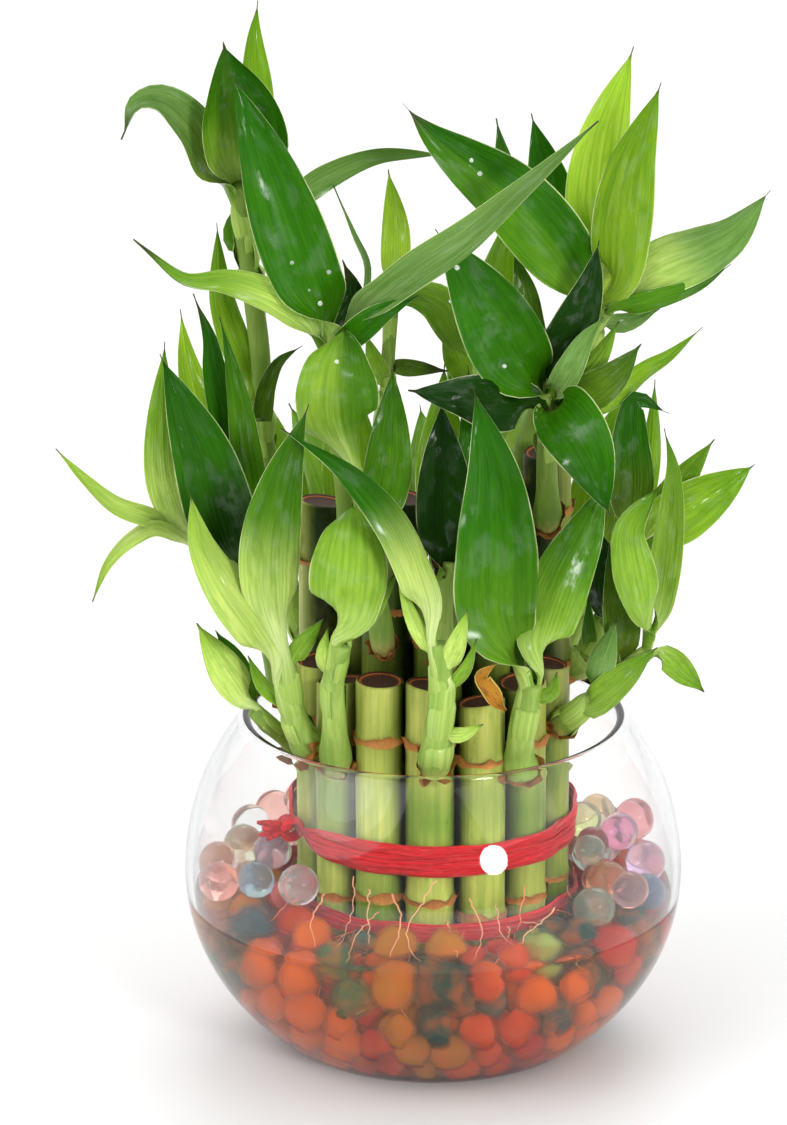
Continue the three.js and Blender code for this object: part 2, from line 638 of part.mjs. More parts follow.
const canes = {
  outer: OUTER_TOPS.map((top, index) => caneSolid(top, ringFoot(OUTER_RING, index))),
  inner: INNER_TOPS.map((top, index) => caneSolid(top, ringFoot(INNER_RING, index))),
};
for (const [ring, solids] of Object.entries(canes)) {
  solids.forEach((solid, index) => addPiece(`cane_${ring}_${index + 1}`, solid, CANE_LOOK));
}

const shoots = [
  ...Object.entries(SHOOTS).map(([name, shoot]) => [name, placedShoot(shoot)]),
  ...Object.entries(BACK_SHOOTS).map(([name, shoot]) => [name, fanShoot(shoot)]),
];
for (const [name, shoot] of shoots) {
  const [ring, index] = shoot.cane;
  addPiece(name, seatedShoot(shoot, canes[ring][index]), LEAF_LOOK);
}

addPiece("dry_leaf", leafSolid(DRY_LEAF.places.map(spot), DRY_LEAF), DRY_LOOK);

export default plant;
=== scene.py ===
"""The looks of a lucky bamboo that stands in a round glass bowl of water beads.

Rows of sizes and places are in millimetres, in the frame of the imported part: +Z up, +Y away from the
front, and the origin in the middle of the bowl's flat foot. Pieces are built in metres.
"""

import math
import random

import bpy
import numpy as np
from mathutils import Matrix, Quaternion, Vector


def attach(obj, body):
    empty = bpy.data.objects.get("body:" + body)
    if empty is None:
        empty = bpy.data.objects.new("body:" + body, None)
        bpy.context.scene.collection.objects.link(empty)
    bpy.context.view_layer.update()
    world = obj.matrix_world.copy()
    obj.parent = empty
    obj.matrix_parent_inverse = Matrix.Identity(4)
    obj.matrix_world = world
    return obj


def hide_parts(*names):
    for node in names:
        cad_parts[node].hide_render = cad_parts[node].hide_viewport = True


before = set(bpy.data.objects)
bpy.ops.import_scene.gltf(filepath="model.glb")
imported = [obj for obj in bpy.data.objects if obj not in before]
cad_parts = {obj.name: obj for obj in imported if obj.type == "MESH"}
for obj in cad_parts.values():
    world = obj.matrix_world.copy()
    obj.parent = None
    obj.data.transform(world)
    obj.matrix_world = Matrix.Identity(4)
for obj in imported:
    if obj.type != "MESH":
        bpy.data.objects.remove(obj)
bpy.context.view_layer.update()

# ---- sizes ----

MM = 0.001

BOWL_RADIUS = 55
BOWL_WAIST = 39
BOWL_DROP = 48
BOWL_RIM = 74.2
GLASS = 1.5
GLASS_FLOOR = 2.4
BOWL_SIDES = 128
WALL_STEPS = 56
LIP_STEPS = 8

CANE_RADIUS = 5.3
NODE_RADIUS = 5.75
CANE_SIDES = 28
CANE_FOOT = 26
OUTER_RING = {"count": 14, "radius": 25.2, "start": -2}
INNER_RING = {"count": 7, "radius": 14, "start": -48}
OUTER_TOPS = [90.5, 86, 88, 89, 134, 91, 88, 90, 87, 91, 122, 89, 88, 90.5]
INNER_TOPS = [116, 110, 114, 126, 119, 121, 113]
NODE_BELOW_TOP = 13
NODE_STEP = 36
NODE_SHAPE = (-3, -1.6, -0.8, -0.25, 0, 0.25, 0.8, 1.6, 2.6)  # rows above and below a node
CUT_END_ROWS = ((0.86, 0.35), (0.5, 0.7), (0.12, 0.8))  # share of the radius, and how deep
CUT_SLOPE = 0.16  # the most that a cut end slopes
CUT_SLOPE_BELOW = 8  # how far below its cut end a cane begins to slope
COLLAR_SIDES = 22
COLLAR_HEIGHT = 2.3
COLLAR_FLARE = 0.9

WATER_LEVEL = 34.3
BEAD_SIZES = (3.3, 4.8)  # radii
BEAD_COUNT = 460
BEAD_SWELL = 1.22  # soft balls under water press into each other
BEAD_DENT = 0.07  # and are out of round by this share of their radius
BEAD_LEAN = 0.8  # how far the beads at the front drift back while they sink
BEAD_START = {"reach": 46, "low": 8, "high": 62}  # where they start to sink from
BEAD_TURNS = 300
BEAD_FAST_TURNS = 170
BEAD_FALLS = (0.4, 0.05)  # how far they sink at each fast turn, and at each slow one
BUNDLE = 31.6  # radius that the beads keep clear of
PATCHES = 150  # points that spread a colour over the beads next to them
MARK_REACH = 6.2  # a marked colour goes to the beads this near to its place

RIBBON_THICK = 0.3
RIBBON_STEPS = 150
UPPER_STRANDS = (48.6, 49.9, 51.0, 52.1, 53.2, 54.4, 50.4, 52.8)  # heights
LOWER_STRANDS = (33.0, 34.0, 35.1, 36.2)
UPPER_WIDTH = 2.3
LOWER_WIDTH = 1.8
KNOT_BEARING = -72
KNOT_HEIGHT = 51.6
KNOT_LOOPS = 4
KNOT_ENDS = 9
LOOP_STEPS = 18
END_STEPS = 9

STEM_STEPS = 26
STEM_SIDES = 14
LEAF_THICK = 0.36
LEAF_WIDEST = 0.42  # share of the blade's length
LEAF_NECK = 0.36  # share of the full width that a blade starts with
LEAF_END = 0.965  # where the blade narrows to its thread of a tip
LEAF_TIP = 0.045  # share of a leaf that its tip colours, where its row gives none
SHEATH = 12  # length of stem that the foot of a leaf wraps
NECK = 5  # a leaf's first place is left out where it is nearer to the stem than this
SHEATH_WRAP = 2.2  # half angle of the wrap, in radians
ACROSS_STEPS = (-1, -0.955, -0.8, -0.55, -0.3, -0.08, 0, 0.08, 0.3, 0.55, 0.8, 0.955, 1)

SMALL_ROOTS = 70
ROOT_SIZES = (0.12, 0.25)  # radii
ROOT_WANDER = 0.35
ROOT_STEPS = 16

EYE_TILT = math.radians(18.5)  # down from level
EYE_AWAY = 1600
EYE_AIM = (-8.8, 104.1)  # across and up, on the upright card through the foot
LENS = 152.7
SENSOR = 24
FLOOR_HALF = 6.0  # metres

# places across and up where the bowl's belly mirrors a lamp, and how far away that lamp stands
HAZE_AT = (-19, 52)
FILL_AT = (17, 52)
GLINT_AT = (13.7, 37.6)
LAMPS_AWAY = 2200
GLINT_AWAY = 1200
HAZE_SIZES = (0.9, 1.6, 2.3)  # metres
HAZE_POWER = 2.4  # watts, times a disc's width in metres squared

# ---- colours ----

WHITE = (1, 1, 1, 1)


def rgb(red, green, blue):
    """A screen colour of 0 to 255, as the linear colour that a shader takes."""
    linear = []
    for value in (red, green, blue):
        share = value / 255
        linear.append(share / 12.92 if share <= 0.04045 else ((share + 0.055) / 1.055) ** 2.4)
    return (*linear, 1.0)


# A leaf's colour on the side that faces the front, at its foot, its middle and near its tip.
# "one/other" is the look of a left half and a right half, and "one>other" runs from foot to tip.
LEAF_COLOURS = {
    "pale": (rgb(216, 236, 160), rgb(186, 216, 104), rgb(156, 196, 66)),
    "light": (rgb(194, 220, 124), rgb(130, 172, 52), rgb(102, 152, 30)),
    "lime": (rgb(160, 192, 64), rgb(122, 166, 32), rgb(106, 156, 22)),
    "grass": (rgb(190, 216, 90), rgb(168, 208, 60), rgb(150, 196, 44)),
    "mid": (rgb(122, 162, 50), rgb(76, 130, 18), rgb(54, 108, 10)),
    "olive": (rgb(118, 138, 48), rgb(84, 118, 24), rgb(60, 98, 18)),
    "grey": (rgb(150, 176, 108), rgb(112, 152, 74), rgb(98, 140, 62)),
    "dark": (rgb(66, 116, 14), rgb(46, 108, 3), rgb(36, 98, 3)),
    # "deep" is the darkest green: partly the leaves' own dark green and partly painted shade, for leaves
    # that stand in the bundle's shade
    "deep": (rgb(38, 72, 6), rgb(22, 62, 2), rgb(16, 58, 2)),
}
# what the other side of such a leaf looks like
BACK_LOOKS = {
    "grass": "light",
    "pale": "mid",
    "light": "mid",
    "lime": "light",
    "mid": "light",
    "olive": "light",
    "grey": "mid",
    "dark": "light",
    "deep": "mid",
}
TIP_COLOUR = rgb(72, 78, 40)
CREAM = rgb(226, 238, 172)
BUD_COLOUR = rgb(222, 208, 136)
STEM_LIGHT = rgb(172, 202, 100)
STEM_DARK = rgb(120, 158, 60)
# painted shade of the stems that stand further back
STEM_SHADED = rgb(100, 130, 44)
# the inner canes' colours are darker: painted shade of the bundle's middle
CANE_COLOURS = {  # light and deep
    "outer": (rgb(188, 200, 96), rgb(118, 150, 48)),
    "inner": (rgb(132, 150, 56), rgb(82, 106, 32)),
}
CANE_TOP = rgb(212, 216, 112)
# painted shade, for the sides of the canes that their neighbours hide and for the canes at the right
CANE_PAINTED_SHADE = rgb(34, 50, 8)  # the side of a cane that its neighbours hide
ROOT_WARM = rgb(226, 128, 74)
ROOT_PALE = rgb(240, 186, 146)

# A gel ball's colour, and how often it is drawn.
SUNK_COLOURS = [
    (rgb(206, 92, 2), 40),
    (rgb(166, 24, 8), 19),
    (rgb(184, 54, 10), 15),
    (rgb(166, 104, 16), 10),
    (rgb(98, 100, 30), 7),
    (rgb(24, 60, 52), 6),
    (rgb(110, 28, 40), 3),
]
WET_COLOURS = [
    (rgb(248, 250, 248), 36),
    (rgb(240, 240, 200), 12),
    (rgb(246, 200, 150), 14),
    (rgb(242, 150, 130), 10),
    (rgb(232, 190, 218), 8),
    (rgb(160, 200, 226), 8),
    (rgb(180, 216, 190), 10),
    (rgb(220, 90, 90), 2),
]
# Colours of the beads that stand out from the front: where, and which.
MARKED_BEADS = [
    ((45, 31, -6), rgb(44, 88, 134)),
    ((51, 30, 2), rgb(60, 130, 150)),
    ((36, 33, -16), rgb(226, 150, 60)),
    ((31, 37, -14), rgb(236, 170, 110)),
    ((36, 49, 18), rgb(238, 240, 180)),
    ((48, 44, 10), rgb(226, 84, 96)),
    ((43, 41, 6), rgb(230, 180, 226)),
    ((30, 51, 30), rgb(190, 232, 236)),
    ((28, 24, -30), rgb(96, 70, 160)),
    ((26, 17, -34), rgb(150, 168, 90)),
    ((-49, 37, -4), rgb(206, 160, 150)),
    ((-48, 45, 8), rgb(176, 214, 184)),
    ((-42, 32, -14), rgb(150, 190, 216)),
    ((-47, 30, -12), rgb(232, 110, 84)),
    ((-45, 26, -18), rgb(40, 110, 110)),
    ((-41, 23, -22), rgb(52, 74, 80)),
    ((-16, 17, -38), rgb(40, 84, 66)),
    ((-20, 12, -38), rgb(60, 96, 60)),
    ((12, 7, -36), rgb(24, 84, 84)),
    ((24, 8, -30), rgb(26, 70, 72)),
    ((16, 24, -38), rgb(240, 236, 226)),
    ((6, 20, -40), rgb(226, 186, 140)),
]

# ---- the plant, in places [across, up, back] as an eye in front sees them ----

# A leaf is its look, its places, its width, how far it is turned from the eye at foot and tip, and how
# far its halves fold: towards the eye if positive. Some leaves end in a dry tip of that share.
SHOOTS = {
    "left_tall": {
        "cane": ("outer", 10), "height": 110, "bearing": -95, "radius": 2.6,
        "stem": [(-36, 121, 9), (-38.4, 134, 8), (-38.6, 150, 7), (-40.5, 166, 6), (-42.5, 180, 6),
                 (-43, 188.5, 4)],
        "leaves": [
            ("grass>lime", [(-42.5, 186, 10), (-39.4, 205, 13), (-39.8, 222, 15),
              (-39.3, 228, 17)], 8.5, 5, 5, -12),
            ("light>mid/dark", [(-42.6, 190, 3), (-42.4, 198, 1), (-43.8, 208, 0),
              (-46.3, 218, 0)], 24, 10, -5, 32),
            ("light>grey", [(-45, 184.5, 5), (-50, 193, 2), (-55.6, 201.6, -2), (-62, 206.8, -5),
              (-66.4, 206, -7), (-68.6, 201, -8)], 13, 20, 50, 25, 0.12),
            ("mid", [(-43, 172, 8), (-44.5, 177, 9), (-43.3, 184, 9)], 5, 0, 0, -10),
            ("lime", [(-40.5, 137, 4), (-43, 150, 6), (-47, 163, 9), (-48.2, 178.5, 12)], 7.5, 0, 10, -20),
            ("olive", [(-38.3, 136, 0), (-37.2, 143.5, -1), (-34.5, 149, -1),
              (-30, 152, -1)], 4.8, 0, 20, 20),
            ("grey", [(-34, 184, 13), (-24, 190.6, 18), (-12, 195.4, 20), (1.5, 195.2, 20)], 7, 30, 40, 15),
            ("light", [(-40.5, 181, 14), (-37, 190, 24), (-33, 194, 34)], 10, 0, 15, -15),
        ],
    },
    "left_reaching": {
        "cane": ("inner", 0), "height": 104, "bearing": -75, "radius": 2.4,
        "stem": [(-19.5, 118, -11), (-21.5, 134, -11), (-22.5, 150, -9)],
        "leaves": [
            ("dark", [(-23.5, 157, -10), (-29, 170, -12), (-34.5, 185, -11), (-39, 198, -9),
              (-44, 211, -7)], 17, 0, 0, 18),
            ("pale>light", [(-26.5, 150, -11), (-30, 158.5, -13), (-37, 163, -14), (-46, 166, -13),
              (-56, 166.8, -12), (-65.5, 175.2, -11)], 9, 5, 76, 20, 0.14),
            ("grey", [(-19, 157, -10), (-6, 168.8, -17), (7, 177.6, -20), (20, 188.5, -20),
              (35.5, 201.5, -17)], 9.5, 20, 45, 15),
            ("dark", [(-18.5, 154.5, -13), (-12, 159.6, -14.5), (-4.5, 163.2, -15)], 6.5, 10, 10, 15),
            ("deep", [(-19, 160, 1), (-17.5, 164, 4), (-19.8, 170.6, 5)], 6, 10, 10, 0, 0.2),
            ("grey", [(-17, 158, 0), (-14.8, 170, 6), (-17.5, 177, 8), (-22, 188, 9)], 3, 55, 60, 10),
            ("light", [(-22, 155, -2), (-24, 164, 9), (-29, 168, 20)], 9, 0, 15, -15),
        ],
    },
    "mid_spoon": {
        "cane": ("inner", 0), "height": 96, "bearing": -5, "radius": 2.2,
        "stem": [(-14, 108, -20), (-16.5, 120, -21), (-18, 127, -21)],
        "leaves": [
            ("light/mid", [(-17.5, 128, -21), (-21, 136, -26), (-21.2, 145.5, -27.5), (-20.4, 151.8, -24),
              (-19.8, 155.4, -16)], 18.6, 0, 0, -13),
            ("mid", [(-14, 108, -18), (-10.5, 122, -17), (-9.5, 133, -16), (-9, 146, -13)], 11, 0, 0, 15),
        ],
    },
    "centre_thin": {
        "cane": ("inner", 5), "height": 110, "bearing": -100, "radius": 1.9,
        "stem": [(-13, 128, 10), (-10.4, 140, 8), (-10, 150, 9), (-9, 162, 13)],
        "leaves": [
            ("grass", [(-9, 165, 15), (-8.3, 178, 19), (-9.8, 190.6, 22)], 6.8, 0, 0, -12),
            ("olive", [(-10, 148, 6), (-4, 147.7, 3), (2.5, 147, 2)], 4.2, 10, 20, 15, 0.3),
            ("light", [(-10.2, 142, 7), (-13, 149, 5), (-14.8, 154.5, 4)], 4.5, 10, 10, 10),
        ],
    },
    "middle": {
        "cane": ("inner", 1), "height": 94, "bearing": 10, "radius": 2.4,
        "stem": [(2.5, 96, -22), (4, 104, -22)],
        "leaves": [
            ("deep", [(3.5, 98, -23), (3, 112, -22), (2.4, 126, -20), (2, 138, -17)], 13.5, 0, 0, 14),
            ("dark", [(6, 103, -20), (9, 117, -15), (10, 130, -12), (8, 146, -6)], 11, 10, 10, 10),
        ],
    },
    "centre_right": {
        "cane": ("inner", 2), "height": 104, "bearing": 120, "radius": 1.9,
        "stem": [(18.5, 117, -6), (14, 130, -5), (10.5, 145, 3)],
        "leaves": [
            ("light", [(9.5, 150, 6), (5.5, 157, 5), (0.5, 162.5, 4), (-5, 164, 4),
              (-11, 162, 4)], 10, 0, 10, -12),
            ("lime", [(11, 142, 1), (6.5, 150, 6), (3, 156, 9)], 9, 0, 0, -12),
        ],
    },
    "left_side": {
        "cane": ("outer", 11), "height": 80, "bearing": -100, "radius": 2.5,
        "stem": [(-38, 90, -7), (-44, 99, -8), (-50, 106, -6)],
        "leaves": [
            ("pale>light", [(-55, 111, -4), (-59.3, 121, -6), (-60.4, 137, -6),
              (-60, 151.5, -4)], 9.5, 0, 0, -15),
            ("deep>dark", [(-43.5, 102, -12), (-47.5, 115, -15), (-51.5, 128, -15), (-56, 139, -13),
              (-60, 148.3, -11)], 16, 0, 0, 15),
            ("grass", [(-47, 118, 1), (-52.5, 140, 5), (-55, 150, 7), (-56.2, 158.8, 9)], 9.5, 0, 0, -15),
            ("light", [(-46, 112, 2), (-49, 122, 13), (-50, 129, 25)], 10, 0, 15, -15),
            ("dark", [(-43, 114, -4), (-46, 135, -6), (-49, 147, -6), (-50, 154, -5),
              (-53, 162.5, -4)], 9, 10, 20, 14, 0.1),
            ("mid", [(-41, 112, -9), (-42.4, 133, -10), (-45, 148, -10),
              (-47.3, 157.5, -9)], 7.5, 5, 5, 18),
            ("pale", [(-54, 109.5, -3), (-63, 113.6, -6), (-71, 116.6, -9), (-78, 122.6, -12),
              (-83.6, 128.8, -14)], 5.2, 20, 30, 18),
            ("pale", [(-56, 109.5, -7), (-62, 112, -8), (-68, 109, -8), (-73, 103.5, -8),
              (-75.8, 96, -7)], 4, 10, 30, -18),
        ],
    },
    "left_low": {
        "cane": ("outer", 11), "height": 71, "bearing": -60, "radius": 2.2,
        "stem": [(-37, 68, -13), (-40, 71, -14)],
        "leaves": [
            ("pale", [(-39.5, 70.5, -15), (-43.5, 76, -17), (-48, 83, -17),
              (-51.8, 89, -16)], 9, 0, 10, -20),
            ("mid", [(-40, 71, -12), (-42, 77, -12), (-45.5, 84, -11), (-48, 88, -10)], 6, 20, 20, 10),
        ],
    },
    "front_left": {
        "cane": ("outer", 12), "height": 74, "bearing": -62, "radius": 3.1,
        "stem": [(-31, 70, -20), (-32.3, 77, -22), (-33.5, 84, -23)],
        "leaves": [
            ("pale>mid", [(-33.5, 84, -24), (-36.2, 95, -28), (-36.4, 108, -31), (-33.5, 123, -32),
              (-28.6, 137, -31)], 13.5, 0, 0, -12),
            ("pale", [(-34.5, 77, -22), (-40, 90, -27), (-46.5, 99, -28), (-51.5, 108, -26),
              (-54, 118, -24)], 11, 5, 10, -18),
            ("light", [(-31, 79, -24), (-29.3, 85.3, -26), (-25, 90.8, -27)], 4.8, 0, 10, -15),
            ("light", [(-34, 70.5, -19), (-38, 76.5, -20), (-41, 82.6, -19)], 3.8, 10, 10, 15),
        ],
    },
    "front_spoon": {
        "cane": ("outer", 12), "height": 72, "bearing": -8, "radius": 2.9,
        "stem": [(-22, 68, -26), (-22.2, 78, -29), (-20.5, 86, -32)],
        "leaves": [
            ("light", [(-20, 88, -34), (-19.3, 97, -37.5), (-18.5, 106, -38.5), (-18.2, 112.6, -35),
              (-18, 116.2, -26)], 17.6, 0, 0, -14),
            ("light", [(-19, 83, -33), (-14.5, 92.4, -33), (-8, 102, -32)], 5, 5, 10, -15, 0.12),
            ("pale", [(-23, 77, -30), (-24.6, 83, -31), (-23.6, 88.8, -30)], 3.6, 0, 0, -15),
        ],
    },
    "front_middle": {
        "cane": ("outer", 0), "height": 75, "bearing": 6, "radius": 3,
        "stem": [(1.2, 68, -36), (2, 77, -37), (1.2, 86, -37)],
        "leaves": [
            ("pale>dark", [(0.6, 88, -38), (-2.2, 98, -40), (-8.5, 113, -40), (-19.5, 125, -36),
              (-32, 132.8, -32)], 10.5, 25, 55, -15),
            ("pale", [(0, 80, -37), (-3.6, 89.5, -38), (-7.8, 100.5, -36)], 3.8, 0, 10, -15),
            ("pale", [(3.2, 77, -39), (5, 85, -40.5), (7.5, 92.6, -41)], 4.8, 0, 0, -12),
            ("light", [(4, 73, -37.5), (7.2, 80, -39), (9.6, 86.5, -40)], 3, 10, 10, -12),
            ("pale", [(2.6, 64.8, -37), (6.6, 65.6, -38), (10.6, 67.6, -37.5)], 3.6, 0, 0, -12),
        ],
    },
    "front_right": {
        "cane": ("outer", 2), "height": 72, "bearing": -4, "radius": 3.3,
        "stem": [(20, 68, -28), (22, 77, -29)],
        "leaves": [
            ("mid>dark", [(19, 79, -30), (14.5, 91, -35), (14.3, 107, -37), (13.5, 124, -34),
              (9.6, 141, -29)], 18.5, 0, 0, 10),
            ("light>mid", [(24.5, 80, -29), (25, 89, -31), (28.8, 100, -29), (34, 111, -24),
              (38.2, 121, -17)], 13.5, 0, 5, -10),
            ("light", [(24, 72, -29), (26.6, 75, -30), (27.6, 79, -30)], 3.6, 0, 0, -12),
        ],
    },
    "right_low": {
        "cane": ("outer", 3), "height": 77, "bearing": 34, "radius": 2.3,
        "stem": [(34.5, 72, -15), (41, 78.5, -13), (48.5, 84.5, -10)],
        "leaves": [
            ("light", [(31, 69, -17), (36, 72.5, -18), (42, 77.6, -17), (49, 84, -13)], 8, 10, 20, -18),
            ("light", [(49, 85, -8), (53.5, 82, -8), (56.5, 79.2, -8), (59.8, 76, -7)], 6.5, 0, 10, 18),
            ("light", [(49, 86.5, -12), (45.8, 95, -14), (44, 104, -15), (43.6, 111.5, -14),
              (49.6, 119.8, -12)], 11.5, 66, 0, 14),
            ("light", [(49.5, 87, -7), (51.3, 98, -6), (52.8, 112, -6), (53.6, 125, -5),
              (52, 132.6, -4)], 7.5, 0, 10, 18),
            ("grey", [(35, 73, -17), (37.6, 81, -16), (40.6, 90, -14)], 6.5, 0, 0, -12),
            ("olive", [(40, 82, -11), (42, 94, -10), (39.6, 107, -8)], 8.5, 0, 0, 12),
        ],
    },
    "right_side": {
        "cane": ("outer", 4), "height": 84, "bearing": 98, "radius": 2.4,
        "stem": [(37, 88, 5), (41, 98, 4), (44, 108, 4)],
        "leaves": [
            ("lime", [(48, 109, 4), (54.5, 114, 6), (62, 118.8, 9), (70, 124.6, 12)], 13, 5, 10, -12),
            ("light", [(44, 108, 8), (46, 118, 15), (46, 126, 23)], 10, 0, 15, -15),
            ("lime", [(50, 114, 10), (56, 122.5, 14), (62, 130.4, 17)], 8, 5, 10, -12),
            ("olive>dark", [(43.5, 111, 1), (44.5, 122, 0), (44, 133, -1), (45.5, 140.5, 0),
              (51, 138.2, 1)], 10, 0, 10, 14),
            ("lime", [(46, 113, 9), (48.6, 127, 10), (49.6, 144, 10)], 5, 0, 0, -12),
            ("deep", [(38, 89, 0), (39, 98, -2), (37, 111, -2)], 9, 0, 5, 12),
            ("dark", [(41, 92, 9), (43.5, 100, 9), (41.5, 110, 9)], 8, 0, 5, 12),
            ("mid", [(34, 83, 1), (34.9, 89, -2), (34.8, 96, -3)], 3.6, 0, 0, 12),
        ],
    },
    "right_crown": {
        "cane": ("outer", 4), "height": 121, "bearing": 0, "radius": 2.6,
        "stem": [(25.5, 130, -7), (26, 139, -7)],
        "leaves": [
            ("dark", [(24, 140, -9), (29.5, 136.5, -19), (34, 129.5, -25),
              (38.8, 116.8, -26)], 15, 0, 10, 12),
            ("dark", [(22.5, 141, -8), (18, 150.5, -12), (12.5, 160.5, -14), (7.5, 168.5, -14),
              (2, 176.5, -13)], 18, 0, 0, 14),
            ("deep", [(26.5, 147, -7), (31.5, 157, -9), (35, 166, -9), (36.7, 174, -8)], 10.5, 0, 10, 12),
            ("grey", [(28, 141, -10), (30.5, 147.5, -12), (34, 154, -12),
              (37.3, 158, -12)], 6.5, 10, 10, 14),
            ("light", [(30, 140, -7), (36.5, 149, -7), (41, 157, -6)], 5.5, 0, 10, -12),
            ("olive", [(29, 139.5, -9), (36, 142.6, -11), (41, 146.4, -11),
              (45.4, 151.6, -10)], 9, 0, 10, 14),
            ("lime", [(31, 137, -6), (40, 140.5, -1), (47, 146.6, 4), (53, 150.4, 8),
              (59.5, 156, 12)], 5, 15, 20, -15),
            ("deep", [(22, 138.6, -10), (14, 140, -17), (6, 141.5, -21),
              (-3, 142.3, -22)], 13, 10, 20, -16),
            ("olive", [(23.5, 143, -3), (21, 157, 1), (20.4, 165, 3), (18.3, 173, 5)], 8.5, 0, 10, 12),
            ("light", [(24, 141, -2), (19, 148, 8), (15, 152, 18)], 10, 0, 15, -15),
        ],
    },
    "right_tall": {
        "cane": ("inner", 3), "height": 112, "bearing": 160, "radius": 2.6,
        "stem": [(21, 131, 18), (28, 146, 15), (38.5, 161, 5)],
        "leaves": [
            ("mid/dark", [(34.5, 164, 2), (27, 175, -1), (17, 186, -3), (6, 194.5, -4), (-0.5, 199.8, -4),
              (-5, 204.8, -3)], 17, 0, 10, 14, 0.1),
            ("mid", [(33, 165, 9), (20, 183, 14), (16.2, 192, 16), (14.5, 201.5, 18)], 9.5, 0, 10, 12),
            ("olive>dark", [(34, 163, 8), (27, 178, 18), (25.4, 190, 22), (22.6, 202, 24)], 14, 0, 10, 12),
            ("grass", [(38.5, 170, 4), (36.8, 185, 4), (38.6, 200, 6), (44.1, 217, 9)], 14.5, 0, 0, -12),
            ("lime", [(41, 166, 0), (42.2, 179, -4), (44.6, 193, -7), (50.2, 209, -9)], 13.5, 0, 0, -12),
            ("pale>grey", [(42, 164, 4), (51, 169.8, 0), (60, 173.6, -3), (67, 177.6, -5),
              (73.8, 185.4, -6)], 13, 0, 10, 12),
            ("light", [(39, 166, 9), (38, 176, 20), (34, 183, 32)], 12, 0, 15, -15),
            ("light", [(41, 163, 8), (47, 168, 18), (52, 169, 28)], 9, 0, -15, -15),
            ("mid", [(41, 161, 0), (51, 163.2, -3), (60, 166.4, -3), (65.8, 170.2, -2)], 5, 10, 20, -15),
            ("grey", [(37, 156, 6), (43, 157.6, 9), (50, 160.6, 10)], 4.5, 10, 10, -12),
        ],
    },
}

# Shoots behind the bundle, each a fan of the same leaves at its own size and swing.
BACK_SHOOTS = {
    "back_right": {"cane": ("outer", 5), "height": 77, "size": 1, "swing": 0},
    "back_mid_right": {"cane": ("outer", 6), "height": 73, "size": 1.12, "swing": 4},
    "back_middle": {"cane": ("outer", 7), "height": 78, "size": 0.94, "swing": 2},
    "back_mid_left": {"cane": ("outer", 8), "height": 72, "size": 1.1, "swing": 0},
    "back_left": {"cane": ("outer", 9), "height": 77, "size": 1, "swing": 6},
    "back_high": {"cane": ("inner", 4), "height": 106, "size": 1.15, "swing": 5},
}
FAN_RADIUS = 2.4
FAN_STEM = 22
FAN_LEANS = (35, 12)
FAN_NECK = 4
FAN_FOLD = -14
# look, swing, length, width, lean from upright at base and at tip
FAN_LEAVES = [
    ("light", -34, 34, 11, 34, 56),
    ("mid", 26, 36, 12, 30, 52),
    ("light", 10, 38, 12, 24, 50),
    ("lime", -6, 42, 13, 8, 22),
]

DRY_LEAF = [(16.2, 71, -36), (12.5, 74.6, -37), (10, 78.6, -36), (15, 82, -34)]

# Each root runs through places seen from the front, from the foot of a cane out over the beads.
ROOTS = [
    [(-17.6, 34, -33), (-17.6, 28, -37), (-21, 18, -40)],
    [(-14.2, 31, -34), (-14.4, 26, -38), (-14.2, 19, -42)],
    [(0.9, 33, -34), (-2.9, 27.3, -37), (-5.9, 20.5, -41), (-2.9, 14.5, -43)],
    [(3.2, 24, -35), (5.4, 16, -42)],
    [(27, 27, -30), (19.8, 19.8, -39), (13.7, 13.7, -43)],
    [(20.5, 32, -32), (19, 22, -38)],
    [(-9, 30, -34), (-7, 24, -38), (-9.5, 16, -43)],
    [(8, 29, -34), (11, 22, -39), (9, 15, -43)],
    [(-24, 30, -30), (-27, 24, -35), (-26, 18, -37)],
    [(-30, 30, -20), (-35, 25, -24), (-38, 22, -26)],
    [(14, 28, -33), (15.5, 21, -38), (20, 17, -41)],
    [(-12, 26, -35), (-17, 21, -40), (-19, 14, -43)],
]

# Where drops sit on leaves: across, up, back, size.
DROPS = [
    (-32.4, 175.5, -11.5, 0.55),
    (-31.6, 171.2, -12.2, 0.6),
    (-23.2, 169.1, -12.4, 0.6),
    (-27.8, 165.0, -11.6, 0.5),
    (-25.2, 162.0, -11.8, 0.55),
    (-27.2, 180.0, -11.2, 0.45),
    (5.4, 170.0, -15.0, 0.6),
    (4.0, 162.5, -15.4, 0.45),
    (10.5, 191.0, -5.6, 0.55),
    (8.6, 194.0, -5.6, 0.5),
    (-21.5, 149.0, -28.6, 0.5),
    (16.0, 148.0, -14.4, 0.5),
]

# ---- lines and places ----


def around(radius, bearing, height=0.0):
    """A point at a bearing from the front, in degrees, towards +X."""
    angle = math.radians(bearing)
    return Vector((radius * math.sin(angle), -radius * math.cos(angle), height))


CARD_UP = Vector((0, math.sin(EYE_TILT), math.cos(EYE_TILT)))
LOOK = Vector((0, math.cos(EYE_TILT), -math.sin(EYE_TILT)))
EYE = Vector((EYE_AIM[0], 0, 0)) + CARD_UP * EYE_AIM[1] - LOOK * EYE_AWAY
UP = Vector((0, 0, 1))


def spot(place):
    """The point at a depth that the eye sees at a place on the upright card through the foot."""
    across, up, back = place
    ray = Vector((across, 0, 0)) + CARD_UP * up - EYE
    return EYE + ray * ((back - EYE.y) / ray.y)


def spots(places):
    return [spot(place) for place in places]


def smooth(low, high, value):
    """0 below low, 1 above high, and a soft step between."""
    share = min(1.0, max(0.0, (value - low) / (high - low)))
    return share * share * (3 - 2 * share)


def blend_colours(first, second, share):
    return tuple(a + (b - a) * share for a, b in zip(first, second))


